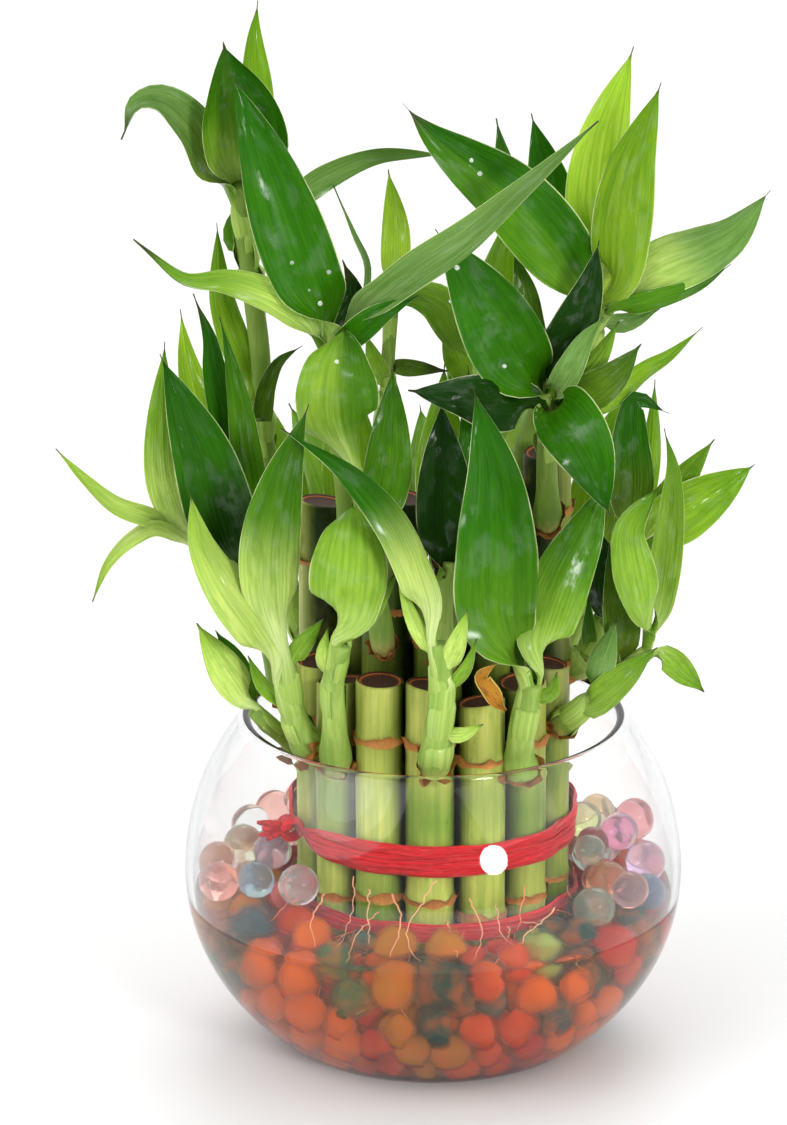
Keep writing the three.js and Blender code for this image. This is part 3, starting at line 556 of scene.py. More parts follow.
def through(points, per_span=14):
    """A dense line through points, as centripetal Catmull-Rom."""
    ends = [points[0] * 2 - points[1], *points, points[-1] * 2 - points[-2]]
    line = []
    for p0, p1, p2, p3 in zip(ends, ends[1:], ends[2:], ends[3:]):
        t1 = max((p1 - p0).length, 1e-6) ** 0.5
        t2 = t1 + max((p2 - p1).length, 1e-6) ** 0.5
        t3 = t2 + max((p3 - p2).length, 1e-6) ** 0.5
        for step in range(per_span):
            t = t1 + (t2 - t1) * step / per_span
            a1 = p0 * ((t1 - t) / t1) + p1 * (t / t1)
            a2 = p1 * ((t2 - t) / (t2 - t1)) + p2 * ((t - t1) / (t2 - t1))
            a3 = p2 * ((t3 - t) / (t3 - t2)) + p3 * ((t - t2) / (t3 - t2))
            b1 = a1 * ((t2 - t) / t2) + a2 * (t / t2)
            b2 = a2 * ((t3 - t) / (t3 - t1)) + a3 * ((t - t1) / (t3 - t1))
            line.append(b1 * ((t2 - t) / (t2 - t1)) + b2 * ((t - t1) / (t2 - t1)))
    line.append(points[-1].copy())
    return line


def evenly(line, count):
    """The same line as count points at even distances."""
    lengths = [0.0]
    for a, b in zip(line, line[1:]):
        lengths.append(lengths[-1] + (b - a).length)
    placed, k = [], 0
    for index in range(count):
        want = lengths[-1] * index / (count - 1)
        while k < len(line) - 2 and lengths[k + 1] < want:
            k += 1
        share = (want - lengths[k]) / max(lengths[k + 1] - lengths[k], 1e-9)
        placed.append(line[k].lerp(line[k + 1], share))
    return placed


def line_length(line):
    return sum((b - a).length for a, b in zip(line, line[1:]))


def directions(line):
    ends = [line[0], *line, line[-1]]
    return [(c - a).normalized() for a, c in zip(ends, ends[2:])]


def carried(line, alongs, first):
    """A direction carried along a line without twist."""
    kept = [(first - alongs[0] * first.dot(alongs[0])).normalized()]
    for before, after in zip(alongs, alongs[1:]):
        turned = before.rotation_difference(after) @ kept[-1]
        kept.append((turned - after * turned.dot(after)).normalized())
    return kept


# ---- building a piece ----


def placed(name, data):
    """A new object in the scene."""
    made = bpy.data.objects.new(name, data)
    bpy.context.scene.collection.objects.link(made)
    return made


class Skin:
    """Corners and faces of one piece, with what its finishes read at each corner."""

    def __init__(self):
        self.corners = []
        self.faces = []
        self.slots = []
        self.tint = []
        self.read = {"across": [], "along": [], "own": []}

    def corner(self, point, tint=(0.5, 0.5, 0.5, 1), across=0.0, along=0.0, own=0.0):
        self.corners.append(point * MM)
        self.tint.append(tint)
        for values, value in zip(self.read.values(), (across, along, own)):
            values.append(value)
        return len(self.corners) - 1

    def face(self, corners, slot):
        self.faces.append(tuple(corners))
        self.slots.append(slot)

    def rows(self, rows, slot):
        """Faces between rows of corners, each row a loop."""
        for lower, upper in zip(rows, rows[1:]):
            count = len(lower)
            for index in range(count):
                after = (index + 1) % count
                self.face((lower[index], lower[after], upper[after], upper[index]), slot)

    def solid(self, rows, slot):
        """Faces between rows of corners, closed at both ends."""
        self.rows(rows, slot)
        self.face(rows[0][::-1], slot)
        self.face(rows[-1], slot)

    def build(self, name, finishes, nodes, slot):
        mesh = bpy.data.meshes.new(name)
        mesh.from_pydata([tuple(corner) for corner in self.corners], [], self.faces)
        for finish in finishes:
            mesh.materials.append(finish)
        mesh.polygons.foreach_set("material_index", self.slots)
        mesh.polygons.foreach_set("use_smooth", [True] * len(self.faces))
        tint = mesh.attributes.new("tint", "FLOAT_COLOR", "POINT")
        tint.data.foreach_set("color", [part for colour in self.tint for part in colour])
        for key, values in self.read.items():
            mesh.attributes.new(key, "FLOAT", "POINT").data.foreach_set("value", values)
        mesh.update()
        made = placed(name, mesh)
        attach(made, "root")
        if nodes:
            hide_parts(*nodes)


def circle(sides):
    """Angles, evenly round."""
    return [2 * math.pi * step / sides for step in range(sides)]


def tube(skin, line, radii, sides, slot, tints, own=0.0, squash=1.0, twist=0.0):
    """A tube along a line, with a radius and a colour at each point. It may be flat, and twist."""
    alongs = directions(line)
    outs = carried(line, alongs, alongs[0].orthogonal())
    rows = []
    for index, (centre, along, out) in enumerate(zip(line, alongs, outs)):
        share = index / (len(line) - 1)
        out = Quaternion(along, twist * share) @ out
        side = along.cross(out)
        row = []
        for angle in circle(sides):
            reach = out * (math.cos(angle) * squash) + side * math.sin(angle)
            point = centre + reach * radii[index]
            row.append(skin.corner(point, tints[index], math.cos(angle), share, own))
        rows.append(row)
    skin.solid(rows, slot)


# ---- finishes ----


class Wire:
    """A socket that takes part in sums."""

    def __init__(self, paint, socket):
        self.paint = paint
        self.socket = socket

    def sum(self, operation, first, second):
        return self.paint.node("ShaderNodeMath", {"operation": operation}, {0: first, 1: second})

    def __add__(self, other):
        return self.sum("ADD", self, other)

    def __mul__(self, other):
        return self.sum("MULTIPLY", self, other)

    def __sub__(self, other):
        return self.sum("SUBTRACT", self, other)

    def __rsub__(self, other):
        return self.sum("SUBTRACT", other, self)

    __radd__ = __add__
    __rmul__ = __mul__


class Paint:
    """The nodes that a material, or the light of the studio, is mixed from."""

    def __init__(self, owner, out="ShaderNodeOutputMaterial"):
        owner.use_nodes = True
        self.owner = owner
        self.out = out
        self.tree = owner.node_tree
        self.tree.nodes.clear()

    def node(self, kind, settings=None, sockets=None, output=0):
        made = self.tree.nodes.new(kind)
        for key, value in (settings or {}).items():
            setattr(made, key, value)
        for key, value in (sockets or {}).items():
            if isinstance(value, Wire):
                self.tree.links.new(value.socket, made.inputs[key])
            else:
                made.inputs[key].default_value = value
        return Wire(self, made.outputs[output])

    def attribute(self, name, output="Fac"):
        return self.node("ShaderNodeAttribute", {"attribute_name": name}, output=output)

    def of_one(self, operation, value):
        return self.node("ShaderNodeMath", {"operation": operation}, {0: value})

    def mix(self, share, first, second, how="MIX"):
        settings = {"data_type": "RGBA", "blend_type": how, "clamp_factor": True}
        return self.node("ShaderNodeMix", settings, {0: share, 6: first, 7: second}, output=2)

    def shades(self, tint, dark, light):
        """A colour made darker and lighter, by a share of its red, green and blue."""
        return [self.mix(1.0, tint, (*shares, 1), "MULTIPLY") for shares in (dark, light)]

    def step(self, low, high, value):
        settings = {"interpolation_type": "SMOOTHSTEP"}
        sockets = {"Value": value, "From Min": low, "From Max": high}
        return self.node("ShaderNodeMapRange", settings, sockets)

    def noise(self, vector, scale, detail, rough):
        sockets = {"Vector": vector, "Scale": scale, "Detail": detail, "Roughness": rough}
        return self.node("ShaderNodeTexNoise", None, sockets)

    def drift(self, x, y, z, scale, detail, rough):
        """Noise that runs with a piece, by sums of what its corners hold."""
        return self.noise(self.node("ShaderNodeCombineXYZ", None, {0: x, 1: y, 2: z}), scale, detail, rough)

    def grain(self, scales, detail, rough):
        """Noise by where the surface is, in metres, times a scale on each axis."""
        where = self.node("ShaderNodeTexCoord", output="Object")
        place = self.node("ShaderNodeVectorMath", {"operation": "MULTIPLY"}, {0: where, 1: scales})
        return self.noise(place, 1.0, detail, rough)

    def body(self, colour, rough, relief=None, more=None):
        """A surface. Its relief is a height, how deep that is in metres, and how strong."""
        sockets = {"Base Color": colour, "Roughness": rough, **(more or {})}
        if relief:
            height, depth, strength = relief
            bump = {"Height": height, "Distance": depth, "Strength": strength}
            sockets["Normal"] = self.node("ShaderNodeBump", None, bump)
        return self.node("ShaderNodeBsdfPrincipled", None, sockets)

    def finish(self, shader, lamps=0.0):
        """The finished material. That share of a lamp's light passes straight on through it."""
        if lamps:
            ray = self.node("ShaderNodeLightPath", output="Is Shadow Ray")
            clear = self.node("ShaderNodeBsdfTransparent")
            shader = self.node("ShaderNodeMixShader", None, {0: ray * lamps, 1: shader, 2: clear})
        out = self.tree.nodes.new(self.out)
        self.tree.links.new(shader.socket, out.inputs["Surface"])
        return self.owner


def paint_for(name):
    return Paint(bpy.data.materials.new(name))


def leaf_finish():
    paint = paint_for("leaf")
    across, along, own = (paint.attribute(key) for key in ("across", "along", "own"))
    tint = paint.attribute("tint", "Color")
    fibre = paint.drift(across * 6, along * 1.6, own * 90, 1.6, 4, 0.6)
    blotch = paint.drift(across * 1.5, along * 5, own * 70, 1.0, 3, 0.6)
    patch = paint.drift(across * 2.2, along * 3.2, own * 50, 1.3, 3, 0.55)
    wet = paint.drift(across * 1.6, along * 7, own * 30, 1.4, 3, 0.6)
    veins = paint.of_one("SINE", across * 48 + blotch * 3)
    edge = paint.of_one("ABSOLUTE", across)
    blade_only = paint.step(0.02, 0.14, along)
    darker, lighter = paint.shades(tint, (0.52, 0.68, 0.4), (1.5, 1.3, 1.5))
    colour = paint.mix(paint.step(0.36, 0.66, fibre), darker, lighter)
    colour = paint.mix(0.6, colour, tint)
    colour = paint.mix(paint.step(0.5, 0.74, blotch) * 0.6, colour, darker)
    colour = paint.mix(paint.step(0.52, 0.72, patch) * 0.5 * blade_only, colour, lighter)
    colour = paint.mix(paint.step(0.3, 1.0, veins) * blade_only * 0.05, colour, lighter)
    rib = paint.step(0.09, 0.0, edge) * blade_only * (1 - along)
    colour = paint.mix(rib * 0.3, colour, lighter)
    margin = paint.step(0.95, 0.99, edge) * paint.step(0.3, 0.6, patch) * blade_only
    colour = paint.mix(margin * 0.8, colour, CREAM)
    height = veins * blade_only * 0.07 + fibre + patch * 1.5
    wax = {
        "Specular IOR Level": 0.08,
        "Coat Weight": paint.step(0.46, 0.66, wet) * 0.8,
        "Coat Roughness": 0.2,
    }
    return paint.finish(paint.body(colour, 0.3 + fibre * 0.2, (height, 0.0005, 0.5), wax))


def stem_finish():
    paint = paint_for("stem")
    tint = paint.attribute("tint", "Color")
    streak = paint.grain((900, 900, 60), 3, 0.6)
    fleck = paint.grain((500, 500, 500), 3, 0.5)
    darker, lighter = paint.shades(tint, (0.58, 0.66, 0.45), (1.35, 1.2, 1.4))
    colour = paint.mix(paint.step(0.35, 0.68, streak), darker, lighter)
    colour = paint.mix(0.6, colour, tint)
    relief = (streak, 0.0003, 0.4)
    return paint.finish(paint.body(colour, 0.36 + fleck * 0.12, relief, {"Specular IOR Level": 0.2}))


def cane_finish():
    paint = paint_for("cane")
    tint = paint.attribute("tint", "Color")
    node = paint.attribute("across")
    streak = paint.grain((700, 700, 35), 4, 0.65)
    cloud = paint.grain((160, 160, 90), 3, 0.6)
    fleck = paint.grain((1500, 1500, 900), 2, 0.5)
    bruise = paint.grain((260, 260, 120), 4, 0.7)
    darker, lighter = paint.shades(tint, (0.5, 0.62, 0.4), (1.4, 1.22, 1.35))
    yellowed, scar_dark, scar_light = rgb(156, 160, 74), rgb(128, 84, 38), rgb(196, 158, 96)
    colour = paint.mix(paint.step(0.34, 0.7, streak), darker, lighter)
    colour = paint.mix(0.55, colour, tint)
    colour = paint.mix(paint.step(0.5, 0.72, cloud) * 0.4, colour, yellowed)
    colour = paint.mix(paint.step(0.56, 0.7, bruise) * 0.6, colour, darker)
    scar = paint.step(0.3, 0.85, node + fleck * 0.35 - 0.17)
    colour = paint.mix(scar * 0.85, colour, paint.mix(fleck, scar_dark, scar_light))
    relief = (streak * 0.5 + fleck * scar, 0.0006, 0.6)
    return paint.finish(paint.body(colour, 0.38 + scar * 0.3, relief, {"Specular IOR Level": 0.25}))


def cut_finish():
    paint = paint_for("cut_end")
    from_middle = paint.attribute("across")
    fibre = paint.grain((1400, 1400, 1400), 4, 0.6)
    core_dark, core_light, bark = rgb(46, 24, 14), rgb(92, 54, 30), rgb(206, 112, 44)
    core = paint.mix(fibre, core_dark, core_light)
    colour = paint.mix(paint.step(0.76, 0.9, from_middle + fibre * 0.08), core, bark)
    return paint.finish(paint.body(colour, 0.8, (fibre, 0.0008, 0.8)))


def papery_finish():
    paint = paint_for("papery_scale")
    up = paint.attribute("along")
    fibre = paint.grain((800, 800, 200), 4, 0.65)
    tan, straw, torn_edge = rgb(170, 90, 32), rgb(232, 172, 90), rgb(140, 78, 34)
    colour = paint.mix(up * 0.6, paint.mix(fibre, tan, straw), torn_edge)
    return paint.finish(paint.body(colour, 0.75, (fibre, 0.0005, 0.8)))


def dry_leaf_finish():
    paint = paint_for("dry_leaf")
    across, along = paint.attribute("across"), paint.attribute("along")
    vein = paint.drift(across * 9, along * 1.4, 3.0, 2.0, 4, 0.6)
    patch = paint.drift(across * 2, along * 4, 8.0, 1.2, 3, 0.6)
    edge = paint.of_one("ABSOLUTE", across)
    ochre, gold, brown, straw = rgb(176, 104, 22), rgb(236, 176, 44), rgb(96, 52, 16), rgb(246, 222, 120)
    colour = paint.mix(vein, ochre, gold)
    colour = paint.mix(paint.step(0.52, 0.7, patch) * 0.85, colour, brown)
    colour = paint.mix(paint.step(0.8, 0.96, edge), colour, straw)
    return paint.finish(paint.body(colour, 0.6, (vein, 0.0006, 0.8)))


def root_finish():
    paint = paint_for("root")
    fleck = paint.grain((900, 900, 900), 3, 0.6)
    tan = rgb(226, 150, 92)
    colour = paint.mix(paint.step(0.4, 0.7, fleck) * 0.5, paint.attribute("tint", "Color"), tan)
    return paint.finish(paint.body(colour, 0.5))


def ribbon_finish():
    paint = paint_for("ribbon")
    across, along, own = (paint.attribute(key) for key in ("across", "along", "own"))
    crease = paint.drift(across * 3, along * 60, own * 60, 1.0, 3, 0.6)
    thread = paint.drift(across * 14, along * 9, own * 40, 1.0, 3, 0.6)
    deep_red, red, sheen_pink = rgb(172, 0, 6), rgb(255, 16, 34), rgb(255, 96, 104)
    # deep red follows the low parts of the relief: partly the ribbon's own darker threads and partly
    # painted shade in its folds
    colour = paint.mix(paint.step(0.36, 0.6, thread), deep_red, red)
    # painted sheen: pink streaks on the creases stand for the shine of the ribbon
    colour = paint.mix(paint.step(0.5, 0.74, crease) * 0.5, colour, sheen_pink)
    relief = (crease * 0.6 + thread, 0.0012, 0.6)
    return paint.finish(paint.body(colour, 0.2 + thread * 0.16, relief, {"Specular IOR Level": 0.4}))


def seen_edge(paint, low, high):
    """0 where a surface faces the eye and 1 where it turns away. The glass takes it for a painted dark
    outline, and the gel for a clear edge.
    """
    facing = paint.node("ShaderNodeLayerWeight", None, {"Blend": 0.5}, output="Facing")
    return paint.step(low, high, facing)


def clear_gel(ior, clear=1.0):
    """What makes a body see-through."""
    return {"IOR": ior, "Transmission Weight": clear}


def glass_finish():
    paint = paint_for("bowl_glass")
    ripple = paint.grain((14, 14, 22), 2, 0.4)
    clear = paint.mix(ripple, (0.975, 0.985, 0.98, 1), WHITE)
    # painted shade: the glass is tinted grey where it turns away from the eye, for the dark outline that
    # bent light gives clear glass
    painted_edge_shade = rgb(226, 229, 232)
    colour = paint.mix(seen_edge(paint, 0.55, 1.0), clear, painted_edge_shade)
    return paint.finish(paint.body(colour, 0.0, (ripple, 0.0006, 0.25), clear_gel(1.45)), 0.92)


def water_finish():
    paint = paint_for("water")
    ripple = paint.grain((60, 60, 60), 2, 0.4)
    amber, pale_amber = (1.0, 0.7, 0.42, 1), (1.0, 0.8, 0.56, 1)
    colour = paint.mix(ripple, amber, pale_amber)
    return paint.finish(paint.body(colour, 0.0, (ripple, 0.001, 0.15), clear_gel(1.12)), 0.95)


def gel_finish(name, clear, ior, rough, shine, soft_edge, lamps):
    """Water-bead gel. A clear share of it is see-through, and a soft edge lets what is behind blend in."""
    paint = paint_for(name)
    tint = paint.attribute("tint", "Color")
    cloud = paint.grain((150, 150, 150), 3, 0.5)
    if soft_edge:
        warm = rgb(178, 76, 8)
        tint = paint.mix(paint.step(0.42, 0.66, cloud) * 0.5, tint, warm)
    lighter = paint.mix(1.0, tint, (1.2, 1.3, 1.3, 1), "MULTIPLY")
    colour = paint.mix(paint.step(0.35, 0.7, cloud), tint, lighter)
    more = {**clear_gel(ior, clear), "Specular IOR Level": shine}
    body = paint.body(colour, rough + cloud * 0.04, (cloud, 0.0008, 0.3), more)
    if soft_edge:
        clear_edge = paint.node("ShaderNodeBsdfTransparent")
        share = seen_edge(paint, 0.02, 0.6) * soft_edge
        body = paint.node("ShaderNodeMixShader", None, {0: share, 1: body, 2: clear_edge})
    return paint.finish(body, lamps)


def drop_finish():
    paint = paint_for("water_drop")
    # painted highlight: the drops are partly a white-ish body, not clear water, so that they show as bright
    # spots
    colour = paint.mix(paint.grain((800, 800, 800), 2, 0.4), (0.9, 1.0, 0.86, 1), WHITE)
    return paint.finish(paint.body(colour, 0.05, None, clear_gel(1.33, 0.6)), 0.9)


def floor_finish():
    paint = paint_for("floor")
    colour = paint.mix(paint.grain((3, 3, 3), 2, 0.5), (0.86, 0.86, 0.865, 1), (0.9, 0.9, 0.9, 1))
    return paint.finish(paint.body(colour, 0.55))


LEAF = leaf_finish()
STEM = stem_finish()
CANE = cane_finish()
CUT_END = cut_finish()
PAPERY = papery_finish()
DRY = dry_leaf_finish()
ROOT = root_finish()
RIBBON = ribbon_finish()
GLASS_LOOK = glass_finish()
WATER_LOOK = water_finish()
GEL_SUNK = gel_finish("gel_sunk", clear=0.1, ior=1.04, rough=0.4, shine=0.0, soft_edge=0.94, lamps=0.97)
GEL_WET = gel_finish("gel_wet", clear=0.92, ior=1.34, rough=0.0, shine=0.5, soft_edge=0.0, lamps=0.7)
DROP = drop_finish()

# ---- leaves ----


def leaf_outline(share):
    if share < LEAF_WIDEST:
        return LEAF_NECK + (1 - LEAF_NECK) * math.sin(math.pi / 2 * share / LEAF_WIDEST)
    return math.cos(math.pi / 2 * (share - LEAF_WIDEST) / (1 - LEAF_WIDEST)) ** 0.92


def half_colour(look, share):
    foot_look, _, tip_look = look.partition(">")
    foot, middle, tip = LEAF_COLOURS[foot_look]
    colour = blend_colours(foot, middle, smooth(-0.05, 0.34, share))
    if tip_look:
        _, middle, tip = LEAF_COLOURS[tip_look]
        colour = blend_colours(colour, middle, smooth(0.25, 0.62, share))
    return blend_colours(colour, tip, smooth(0.45, 0.95, share))


def leaf_colour(look, share, seen, dry, own):
    """The colour at a place on a leaf, which runs from its left edge at -1 to its right edge at 1."""
    left, _, right = look.partition("/")
    colour = half_colour(left, share)
    if right:
        colour = blend_colours(colour, half_colour(right, share), smooth(-0.1, 0.16, seen))
    colour = blend_colours(colour, STEM_LIGHT, smooth(0.1, -0.12, share) if share < 0.1 else 0)
    bright = 1 + 0.14 * math.sin(own * 40 + seen * 1.4) * smooth(0, 0.2, share)
    colour = (*(part * bright for part in colour[:3]), 1)
    return blend_colours(colour, TIP_COLOUR, smooth(1 - dry * 1.3, 1 - dry * 0.35, share))


def back_look(look):
    """What the side of a leaf that the front doesn't show looks like."""
    return BACK_LOOKS[look.partition("/")[0].partition(">")[0]]


def blade(skin, line, sheath, shape, out, radius, layer, own):
    """One leaf whose foot wraps its stem. The line runs from the foot of the sheath to the tip."""
    look, width, turn, fold, dry = shape
    alongs = directions(line)
    carried_outs = carried(line, alongs, out)
    total = line_length(line)
    wave = random.uniform(0, 6.28)
    ripple = random.uniform(0.02, 0.05) * width
    towards_eye = 1 if fold < 0 else -1
    bend = max(0.25, 2 * math.tan(math.radians(abs(fold))))
    foot_share = -sheath / (total - sheath)
    outer_look, inner_look = (look, back_look(look))[::towards_eye]
    twist_before = 0.0
    rows = []
    for index, (centre, along, carried_out) in enumerate(zip(line, alongs, carried_outs)):
        share = (total * index / (len(line) - 1) - sheath) / (total - sheath)
        on_blade = max(share, 0)
        # how far the blade twists from its stem to the turn that its row asks for
        to_eye = (EYE - centre).normalized()
        side = along.cross(to_eye).normalized()
        side.rotate(Quaternion(along, math.radians(turn[0] + (turn[1] - turn[0]) * on_blade)))
        wanted = side.cross(along) * towards_eye
        twist = math.atan2(carried_out.cross(wanted).dot(along), carried_out.dot(wanted))
        twist -= 2 * math.pi * round((twist - twist_before) / (2 * math.pi))
        twist_before = twist
        opened = smooth(0.0, 0.3, share)
        out_here = Quaternion(along, twist * opened) @ carried_out
        side_here = along.cross(out_here)
        # from a sheath that wraps the stem to an open blade
        half_blade = max(width / 2 * leaf_outline(min(on_blade / LEAF_END, 1)), 0.34 * (1.35 - share))
        snug =radius + layer - (layer + 0.3) * smooth(foot_share * 0.45, foot_share, share)
        half_sheath = SHEATH_WRAP * snug
        half = half_sheath + (half_blade - half_sheath) * smooth(-0.14, 0.06, share)
        wrap = SHEATH_WRAP + (bend - SHEATH_WRAP) * opened
        curve = half / wrap
        off = snug * (1 - smooth(0.0, 0.22, share))
        thin = LEAF_THICK / 2 * (1 - 0.6 * smooth(0.6, 1.0, share))
        outer, inner = [], []
        for across in ACROSS_STEPS:
            angle = across * wrap
            flutter = ripple * across * across * math.sin(share * 13 + wave + across) * opened
            rib = 0.16 * math.exp(-((across / 0.06) ** 2)) * opened
            lift = off + curve * math.cos(angle) - curve + flutter
            base = centre + side_here * (curve * math.sin(angle)) + out_here * lift
            thick = thin * (1 - 0.75 * abs(across) ** 6)
            under = leaf_colour(outer_look, share, across * towards_eye, dry, own)
            over = leaf_colour(inner_look, share, across * towards_eye, dry, own)
            outer.append(skin.corner(base + out_here * (thick + rib), under, across, on_blade, own))
            inner.append(skin.corner(base - out_here * (thick - rib * 0.5), over, across, on_blade, own))
        rows.append(outer + inner[::-1])
    skin.solid(rows, 0)


def nearest_index(line, point):
    return min(range(len(line)), key=lambda index: (line[index] - point).length)


def ragged_ring(skin, centre, along, radius, height, slot, own, most):
    """A torn papery collar round a stem or a cane, which flares by most where it stands off furthest."""
    out = along.orthogonal().normalized()
    side = along.cross(out)
    rows = [[], [], []]
    for angle in circle(COLLAR_SIDES):
        reach = out * math.cos(angle) + side * math.sin(angle)
        tall = height * random.uniform(0.25, 1.0)
        flare = random.uniform(0.1, most)
        for row, (share, swell) in zip(rows, ((-0.35, 0.05), (0.4, 0.3), (1.0, flare + 0.2))):
            point = centre + along * (tall * share) + reach * (radius + swell)
            row.append(skin.corner(point, along=max(share, 0), own=own))
    skin.rows(rows, slot)


def cane_foot(cane):
    ring = OUTER_RING if cane[0] == "outer" else INNER_RING
    return around(ring["radius"], ring["start"] + 360 / ring["count"] * cane[1])


def stem_looks(line, radius):
    """The colour and the radius at each point of a stem, which swells over its bud."""
    tints, radii = [], []
    for index, point in enumerate(line):
        share = index / (len(line) - 1)
        bulb = 1 + 0.3 * math.exp(-(((share - 0.17) / 0.13) ** 2))
        radii.append(radius * (1.02 - 0.26 * share) * bulb * (0.8 + 0.2 * smooth(0, 0.1, share)))
        colour = blend_colours(STEM_LIGHT, STEM_DARK, 0.3 + 0.3 * math.sin(share * 9))
        # painted shade: stems that stand further back are blended towards a darker green
        colour = blend_colours(colour, STEM_SHADED, 0.6 * smooth(-24, -6, point.y))
        tints.append(blend_colours(BUD_COLOUR, colour, smooth(0.02, 0.2, share)))
    return tints, radii


def leaf_line(stem, at, points, width):
    """A leaf's line, up along its stem from the foot of its sheath and out to its tip."""
    step_length = line_length(stem) / (len(stem) - 1)
    below = max(1, at - max(1, round(SHEATH / step_length)))
    wrapped = stem[below : at + 1] if at > below else [stem[max(at - 1, 0)], stem[at]]
    spine = [wrapped[0], *wrapped[2::2]] if len(wrapped) > 3 else wrapped
    if (spine[-1] - stem[at]).length > 1e-6:
        spine = [*spine, stem[at]]
    tail = (points[-1] - points[-2]).normalized() * min(2.5, width * 0.2)
    line = through([*spine, *points, points[-1] + tail], 10)
    count = max(16, min(44, round(line_length(line) / 1.6)))
    return evenly(line, count), line_length(wrapped)


def away_from_stem(stem, at, point, fold):
    """The direction, square to its stem, in which a leaf leaves it towards a point."""
    along = (stem[min(at + 1, len(stem) - 1)] - stem[max(at - 1, 0)]).normalized()
    away = point - stem[at]
    away = away - along * away.dot(along)
    if away.length < 1.2:
        away = (EYE - stem[at]) * (1 if fold < 0 else -1)
        away = away - along * away.dot(along)
    return away.normalized()


def shoot_piece(name, shoot, places, leaves):
    """A stem through places with its leaves, which are (look, points, width, turns, fold, dry)."""
    skin = Skin()
    radius = shoot["radius"]
    foot = cane_foot(shoot["cane"])
    bud = foot + around(CANE_RADIUS + radius * 0.8, shoot["bearing"], shoot["height"])
    root = foot + around(CANE_RADIUS - 1.5, shoot["bearing"], shoot["height"] - 2.2)
    stem = evenly(through([root, bud, *places]), STEM_STEPS)
    tints, radii = stem_looks(stem, radius)
    tube(skin, stem, radii, STEM_SIDES, 1, tints, own=random.random())
    starts = sorted((nearest_index(stem, leaf[1][0]) for leaf in leaves), reverse=True)
    for look, points, width, base_turn, tip_turn, fold, *dry in leaves:
        at = nearest_index(stem, points[0])
        if (points[0] - stem[at]).length < NECK and len(points) > 2:
            points = points[1:]
        line, sheath = leaf_line(stem, at, points, width)
        away = away_from_stem(stem, at, points[1], fold)
        shape = (look, width, (base_turn, tip_turn), fold, dry[0] if dry else LEAF_TIP)
        layer = 0.12 + 0.2 * starts.index(at)
        blade(skin, line, sheath, shape, away, radii[at], layer, random.random())
    along = (stem[3] - stem[1]).normalized()
    height = COLLAR_HEIGHT * radius
    ragged_ring(skin, stem[1], along, radius * 1.04, height, 2, random.random(), 0.8 * radius)
    skin.build(f"leaves_{name}", [LEAF, STEM, PAPERY], [f"shoot_{name}"], "leaf")


def outward(bearing, lean, length):
    lean = math.radians(lean)
    return around(length * math.sin(lean), bearing, length * math.cos(lean))


def fan_shoot(fan):
    """The stem and leaves of a shoot at the back, which opens as a fan away from the bundle."""
    foot = cane_foot(fan["cane"])
    bearing = 180 - math.degrees(math.atan2(foot.x, foot.y))
    size = fan["size"]
    bud = foot + around(NODE_RADIUS + FAN_RADIUS, bearing, fan["height"])
    middle = bud + outward(bearing, FAN_LEANS[0], FAN_STEM * size / 2)
    top = middle + outward(bearing, FAN_LEANS[1], FAN_STEM * size / 2)
    leaves = []
    for index, (look, turn, length, width, base_lean, tip_lean) in enumerate(FAN_LEAVES):
        course = bearing + turn + fan["swing"]
        start = middle.lerp(top, (index + 0.4) / len(FAN_LEAVES))
        points = [start + outward(course, base_lean, FAN_NECK)]
        for share in (0, 0.5, 1):
            lean = base_lean + (tip_lean - base_lean) * share
            points.append(points[-1] + outward(course, lean, length * size / 3))
        leaves.append((look, points, width * size, turn, turn, FAN_FOLD))
    shoot = {"cane": fan["cane"], "height": fan["height"], "bearing": bearing, "radius": FAN_RADIUS}
    return shoot, [middle, top], leaves


def add_shoots():
    for name, shoot in SHOOTS.items():
        leaves = [(look, spots(places), *rest) for look, places, *rest in shoot["leaves"]]
        shoot_piece(name, shoot, spots(shoot["stem"]), leaves)
    for name, fan in BACK_SHOOTS.items():
        shoot_piece(name, *fan_shoot(fan))


def add_dry_leaf():
    skin = Skin()
    line = evenly(through(spots(DRY_LEAF)), 22)
    shape = ("lime", 6, (20, 60), 30, 0.05)
    blade(skin, line, 0.5, shape, Vector((0, 1, 0)), 0.6, 0.1, 0.3)
    skin.build("dry_leaf_curl", [DRY], ["dry_leaf"], "dry_leaf")


# ---- canes ----


def node_heights(top):
    heights = []
    height = top - NODE_BELOW_TOP
    while height > CANE_FOOT + 3:
        heights.append(height)
        height -= NODE_STEP
    return heights


def cane_profile(top):
    """Heights, radii and how much each belongs to a node's scar."""
    nodes = node_heights(top)
    heights = {CANE_FOOT, CANE_FOOT + 0.8, top - 0.5, top}
    heights.update(CANE_FOOT + 2 + step * 4 for step in range(int((top - CANE_FOOT) / 4)))
    for node in nodes:
        heights.update(node + shift for shift in NODE_SHAPE)
    profile = []
    for height in sorted(h for h in heights if h <= top):
        near = min((abs(height - node) for node in nodes), default=99)
        swell = (NODE_RADIUS - CANE_RADIUS) * math.exp(-((near / 1.3) ** 2))
        groove = 0.22 * math.exp(-((near / 0.3) ** 2))
        end = 0.35 if height in (CANE_FOOT, top) else 0
        scar = math.exp(-((near / 0.75) ** 2))
        profile.append((height, CANE_RADIUS + swell - groove - end, scar))
    return profile


